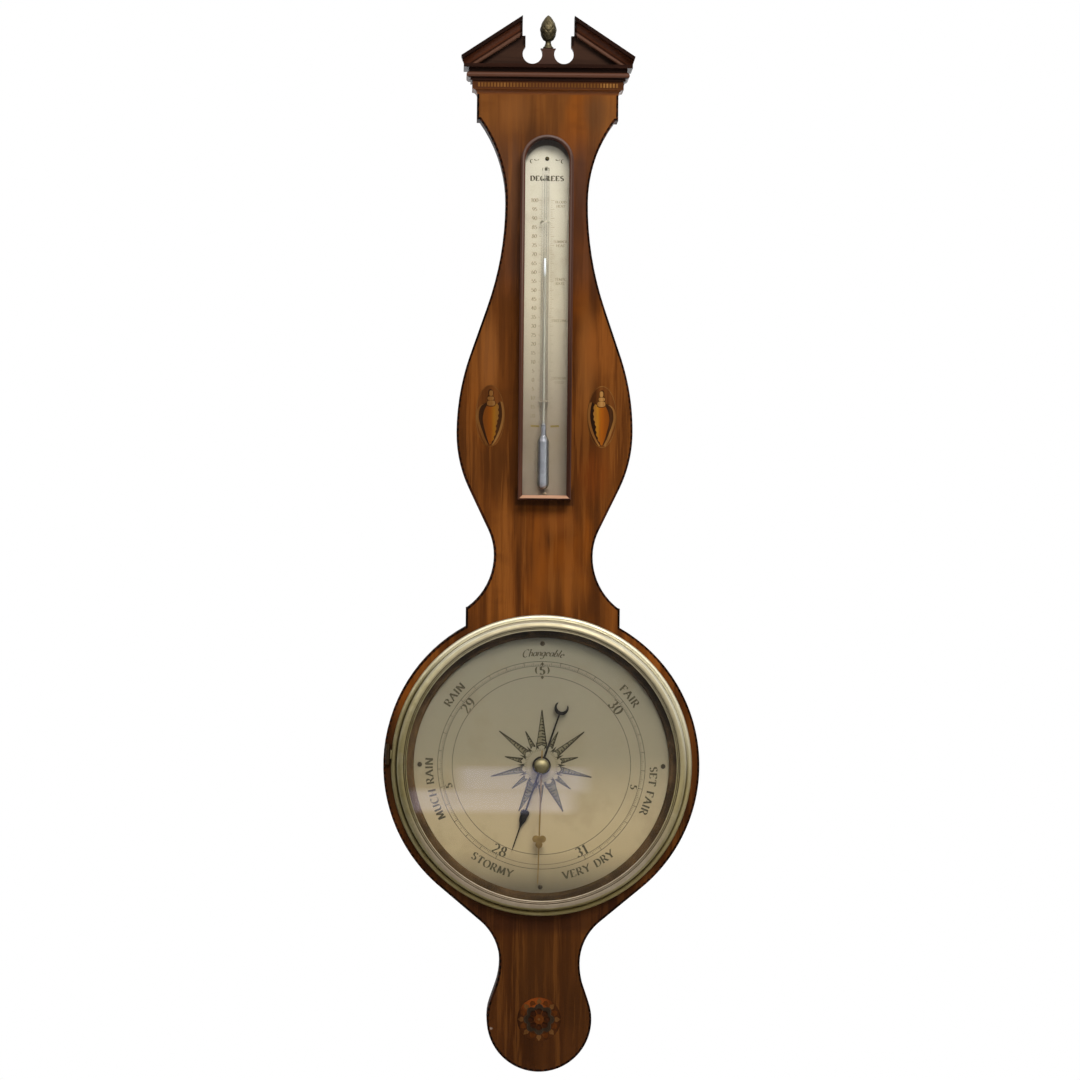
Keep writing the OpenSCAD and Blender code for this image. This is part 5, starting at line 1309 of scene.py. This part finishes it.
FINIAL_DEPTH = 42.2
PLINTH_Z = 659.6
NECK_Z = 667.04
SCALES_Z = 668.2
SWELL_Z = 677.33
TIP_Z = PLINTH_Z + 31.1
FINIAL_FOOT = ((PLINTH_Z, 4.8), (661.2, 4.8), (662.0, 3.6), (664.94, 2.6), (666.44, 2.6), (NECK_Z, 3.6))
FINIAL_SIDES = 112
SCALE_ROW = 3.1
SCALE_DIP = 0.09


def finial_radius(z):
    """The solid finial's outline: foot, neck, egg-shaped body and tip."""
    if z < NECK_Z:
        for (z0, r0), (z1, r1) in zip(FINIAL_FOOT, FINIAL_FOOT[1:]):
            if z <= z1:
                return r0 + (r1 - r0) * (z - z0) / (z1 - z0)
    if z < SWELL_Z:
        return 3.6 + 4.1 * math.sin(math.pi / 2 * (z - NECK_Z) / (SWELL_Z - NECK_Z)) ** 0.6
    t = min((z - SWELL_Z) / (TIP_Z - SWELL_Z), 1.0)
    return 7.7 * (1 - t ** 1.6) ** 0.75


def cone_scale(angle, z):
    """How far the surface dips between the overlapping scales of the cone, 0 to 1."""
    if z < SCALES_Z:
        return 0.0
    turn = math.pi / 2 * (z - SCALES_Z) / SCALE_ROW
    spirals = (abs(math.sin(4 * angle + turn)), abs(math.sin(4 * angle - turn)))
    return (1 - min(spirals) ** 0.5) * min(1.0, (z - SCALES_Z) / 2)


def turn_finial():
    """The brass pine cone with its foot and collar, its scales cut between two sets of spirals."""
    p = Piece()
    heights = [PLINTH_Z - 5.0, PLINTH_Z - 0.02, PLINTH_Z, 661.2, 662.0, 663.4, 664.94, 666.44, NECK_Z]
    heights += [NECK_Z + (TIP_Z - 0.05 - NECK_Z) * i / 70 for i in range(1, 71)]
    rings = []
    for z in heights:
        ring = []
        base = 2.0 if z < PLINTH_Z else finial_radius(z)
        for i in range(FINIAL_SIDES):
            angle = 2 * math.pi * i / FINIAL_SIDES
            r = max(base * (1 - SCALE_DIP * cone_scale(angle, z)), 0.05)
            ring.append(place(r * math.cos(angle), FINIAL_DEPTH + r * math.sin(angle), z))
        rings.append(ring)
    p.sweep(rings)
    cone = p.build("finial_cone", [FINIAL_BRASS], True)
    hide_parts("finial")
    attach(cone, "case")


# THREADS AND QUICKSILVER

THREAD_DEPTH = 24.0
THREAD_TOP = -2.8
FLOAT_TOP = -151.7
WEIGHT_TOP = -110.0
PITCH_R = 7.0745
LONG_X = -21.0
BEND_Z = -238.0
LEVEL_Z = -176.0
LONG_LEVEL_Z = 533.42
FILL_R = 3.4
# The rounded top of a column: height over its shoulder and share of its width
SHOULDER = 1.9
DOME = ((0.6, 0.96), (1.2, 0.8), (1.6, 0.5), (1.75, 0.12))


def tube(p, path, radius, sides):
    """A tube through (x, z) points in the plane of the threads, its radius given by point and angle."""
    rings = []
    for i, (x, z) in enumerate(path):
        before, after = neighbours(path, i)
        run = Vector((after[0] - before[0], after[1] - before[1])).normalized()
        ring = []
        for k in range(sides):
            a = 2 * math.pi * k / sides
            u, v = radius(i, a) * math.cos(a), radius(i, a) * math.sin(a)
            ring.append(place(x + run.y * u, THREAD_DEPTH + v, z - run.x * u))
        rings.append(ring)
    p.sweep(rings)


def hang_thread(name, node, x, low):
    """A two-ply silk thread from the pulley down to its weight."""
    p = Piece()
    steps = max(8, round((THREAD_TOP - low) / 0.8))
    path = [(x, low + (THREAD_TOP - low) * i / steps) for i in range(steps + 1)]
    tube(p, path, lambda i, a: 0.19 + 0.06 * abs(math.cos(a - 0.9 * i)), 12)
    thread = p.build(name, [SILK], True)
    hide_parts(node)
    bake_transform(thread)


def fill_limb(name, node, path, x, level):
    """One column of quicksilver with a rounded top."""
    p = Piece()
    wide = [FILL_R] * len(path) + [FILL_R * share for _, share in DOME]
    path = path + [(x, level - SHOULDER + rise) for rise, _ in DOME]
    tube(p, path, lambda i, a: wide[i], 24)
    piece = p.build(name, [MERCURY], True)
    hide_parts(node)
    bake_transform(piece)


def column(x, level, steps):
    """Points from the bend up to a column's shoulder."""
    return [(x, BEND_Z + (level - SHOULDER - BEND_Z) * i / steps) for i in range(steps + 1)]


def pour_mercury():
    """Quicksilver in both limbs: a short column under the float, and the long one."""
    fill_limb("quicksilver_short", "mercury_short", column(PITCH_R, LEVEL_Z, 30), PITCH_R, LEVEL_Z)
    middle, reach = (LONG_X + PITCH_R) / 2, (PITCH_R - LONG_X) / 2
    bend = bow(middle, BEND_Z, reach, reach, 0, -180, 32)
    path = bend + column(LONG_X, LONG_LEVEL_Z, 60)[1:]
    fill_limb("quicksilver_long", "mercury_long", path, LONG_X, LONG_LEVEL_Z)


# STUDIO

SENSOR = 36.0
FRAME_WIDTH = 0.9936
CAMERA_FAR = 5.0
CAMERA_TURN = math.radians(-1.0)
CAMERA_ROLL = math.radians(0.55)
AIM = place(-3.3, 48, 207.3)
FLOOR_Z = -1.45


def set_camera():
    """A long lens, a little to the left, with the photograph's slight lean."""
    data = bpy.data.cameras.new("studio_camera")
    data.sensor_width = SENSOR
    data.lens = SENSOR * CAMERA_FAR / FRAME_WIDTH
    data.clip_end = 60.0
    camera = bpy.data.objects.new("studio_camera", data)
    away = Vector((math.sin(CAMERA_TURN), -math.cos(CAMERA_TURN), 0.0)) * CAMERA_FAR
    camera.location = Vector(AIM) + away
    facing = (-away).to_track_quat("-Z", "Y")
    camera.rotation_mode = "QUATERNION"
    camera.rotation_quaternion = facing @ Quaternion((0, 0, 1), CAMERA_ROLL)
    bpy.context.scene.collection.objects.link(camera)
    bpy.context.scene.camera = camera


# Each lamp's name, place, size, watts and colour
LAMPS = (
    ("key_lamp", (0.5, -2.4, 1.6), (1.8, 0.9), 92, (1.0, 0.98, 0.95)),
    ("fill_lamp", (2.4, -2.0, -0.2), (1.4, 1.8), 9, (1.0, 0.99, 0.97)),
    ("back_lamp", (0.6, 2.4, 0.7), (2.0, 2.0), 30, (1.0, 1.0, 1.0)),
)
LAMP_AIM = (0, -0.05, -0.4)


def light_studio():
    for name, spot, size, watts, colour in LAMPS:
        data = bpy.data.lights.new(name, "AREA")
        data.shape = "RECTANGLE"
        data.size, data.size_y = size
        data.energy = watts
        data.color = colour
        lamp = bpy.data.objects.new(name, data)
        lamp.location = spot
        lamp.rotation_euler = (Vector(LAMP_AIM) - Vector(spot)).to_track_quat("-Z", "Y").to_euler()
        bpy.context.scene.collection.objects.link(lamp)


class World(Nodes):
    """The surroundings: white for the camera and behind the object, a dim room in front for reflections."""

    def __init__(self):
        world = bpy.data.worlds.new("studio_world")
        bpy.context.scene.world = world
        world.use_nodes = True
        super().__init__(world.node_tree)
        self.tree.nodes.clear()
        self.path = self.add("LightPath").outputs
        self.way = self.split(self.add("TexCoord").outputs["Generated"])

    def glow(self, colour, strength):
        return self.fill(self.add("Background"), Color=colour, Strength=strength).outputs[0]

    def within(self, value, limits, soft):
        """One between two limits, falling softly to nothing outside them."""
        rise = self.span(value, limits[0] - soft, limits[0] + soft)
        fall = self.span(value, limits[1] + soft, limits[1] - soft)
        return self.times(rise, fall)


# Tones of the room from straight down to straight up
ROOM = (
    (0.00, (96, 84, 66)), (0.30, (104, 90, 68)), (0.42, (84, 72, 50)), (0.47, (84, 74, 52)),
    (0.482, (58, 56, 50)), (0.56, (62, 61, 56)), (0.60, (190, 189, 182)), (0.64, (255, 254, 248)),
    (1.00, (255, 254, 248)),
)
# The panes of the window that the dial glass mirrors, as sideways and upward shares of a direction
WINDOW = (
    ((-0.0060, 0.0240), (-0.0500, -0.0462)),
    ((0.0030, 0.0262), (-0.0462, -0.0420)),
)


def set_world():
    w = World()
    room = w.glow(w.ramp(w.span(w.way["Z"], -1, 1), *ROOM), 1.0)
    ceiling = w.glow((1.0, 0.98, 0.94, 1.0), 2.0)
    room = w.choose(w.span(w.way["Z"], 0.16, 0.30), room, ceiling)
    for across, up in WINDOW:
        pane = w.times(w.within(w.way["X"], across, 0.0016), w.within(w.way["Z"], up, 0.0006))
        room = w.choose(pane, room, w.glow((0.74, 0.72, 1.0, 1.0), 3.1))
    white = w.glow((1, 1, 1, 1), 1.0)
    soft = w.glow((0.96, 0.97, 1.0, 1.0), 0.22)
    front = w.span(w.way["Y"], 0.05, -0.25)
    lit = w.choose(w.path["Is Glossy Ray"], soft, w.choose(front, white, room))
    lit = w.choose(w.path["Is Transmission Ray"], lit, w.choose(front, white, soft))
    lit = w.choose(w.path["Is Camera Ray"], lit, white)
    w.fill(w.add("OutputWorld"), Surface=lit)


def lay_floor():
    """A pale round floor well below the hanging object."""
    round_floor = bmesh.new()
    bmesh.ops.create_circle(round_floor, cap_ends=True, radius=3.0, segments=96)
    mesh = bpy.data.meshes.new("studio_floor")
    round_floor.to_mesh(mesh)
    round_floor.free()
    s = Shader("floor_paint", Roughness=0.8)
    s.set(Base_Color=s.ramp(s.noise(3), (0.3, (0.80, 0.80, 0.80, 1)), (0.7, (0.84, 0.84, 0.84, 1))))
    mesh.materials.append(s.mat)
    floor = bpy.data.objects.new("studio_floor", mesh)
    floor.location = (0, 0, FLOOR_Z)
    bpy.context.scene.collection.objects.link(floor)


dress_nodes()
engrave_dial()
engrave_scale()
fit_hand()
lay_stringing()
lay_shells()
lay_flower()
screw_hinges()
turn_finial()
hang_thread("silk_float_thread", "float_thread", PITCH_R, FLOAT_TOP)
hang_thread("silk_counter_thread", "counter_thread", -PITCH_R, WEIGHT_TOP)
pour_mercury()
set_camera()
light_studio()
set_world()
lay_floor()
bpy.context.scene.view_settings.view_transform = "Standard"
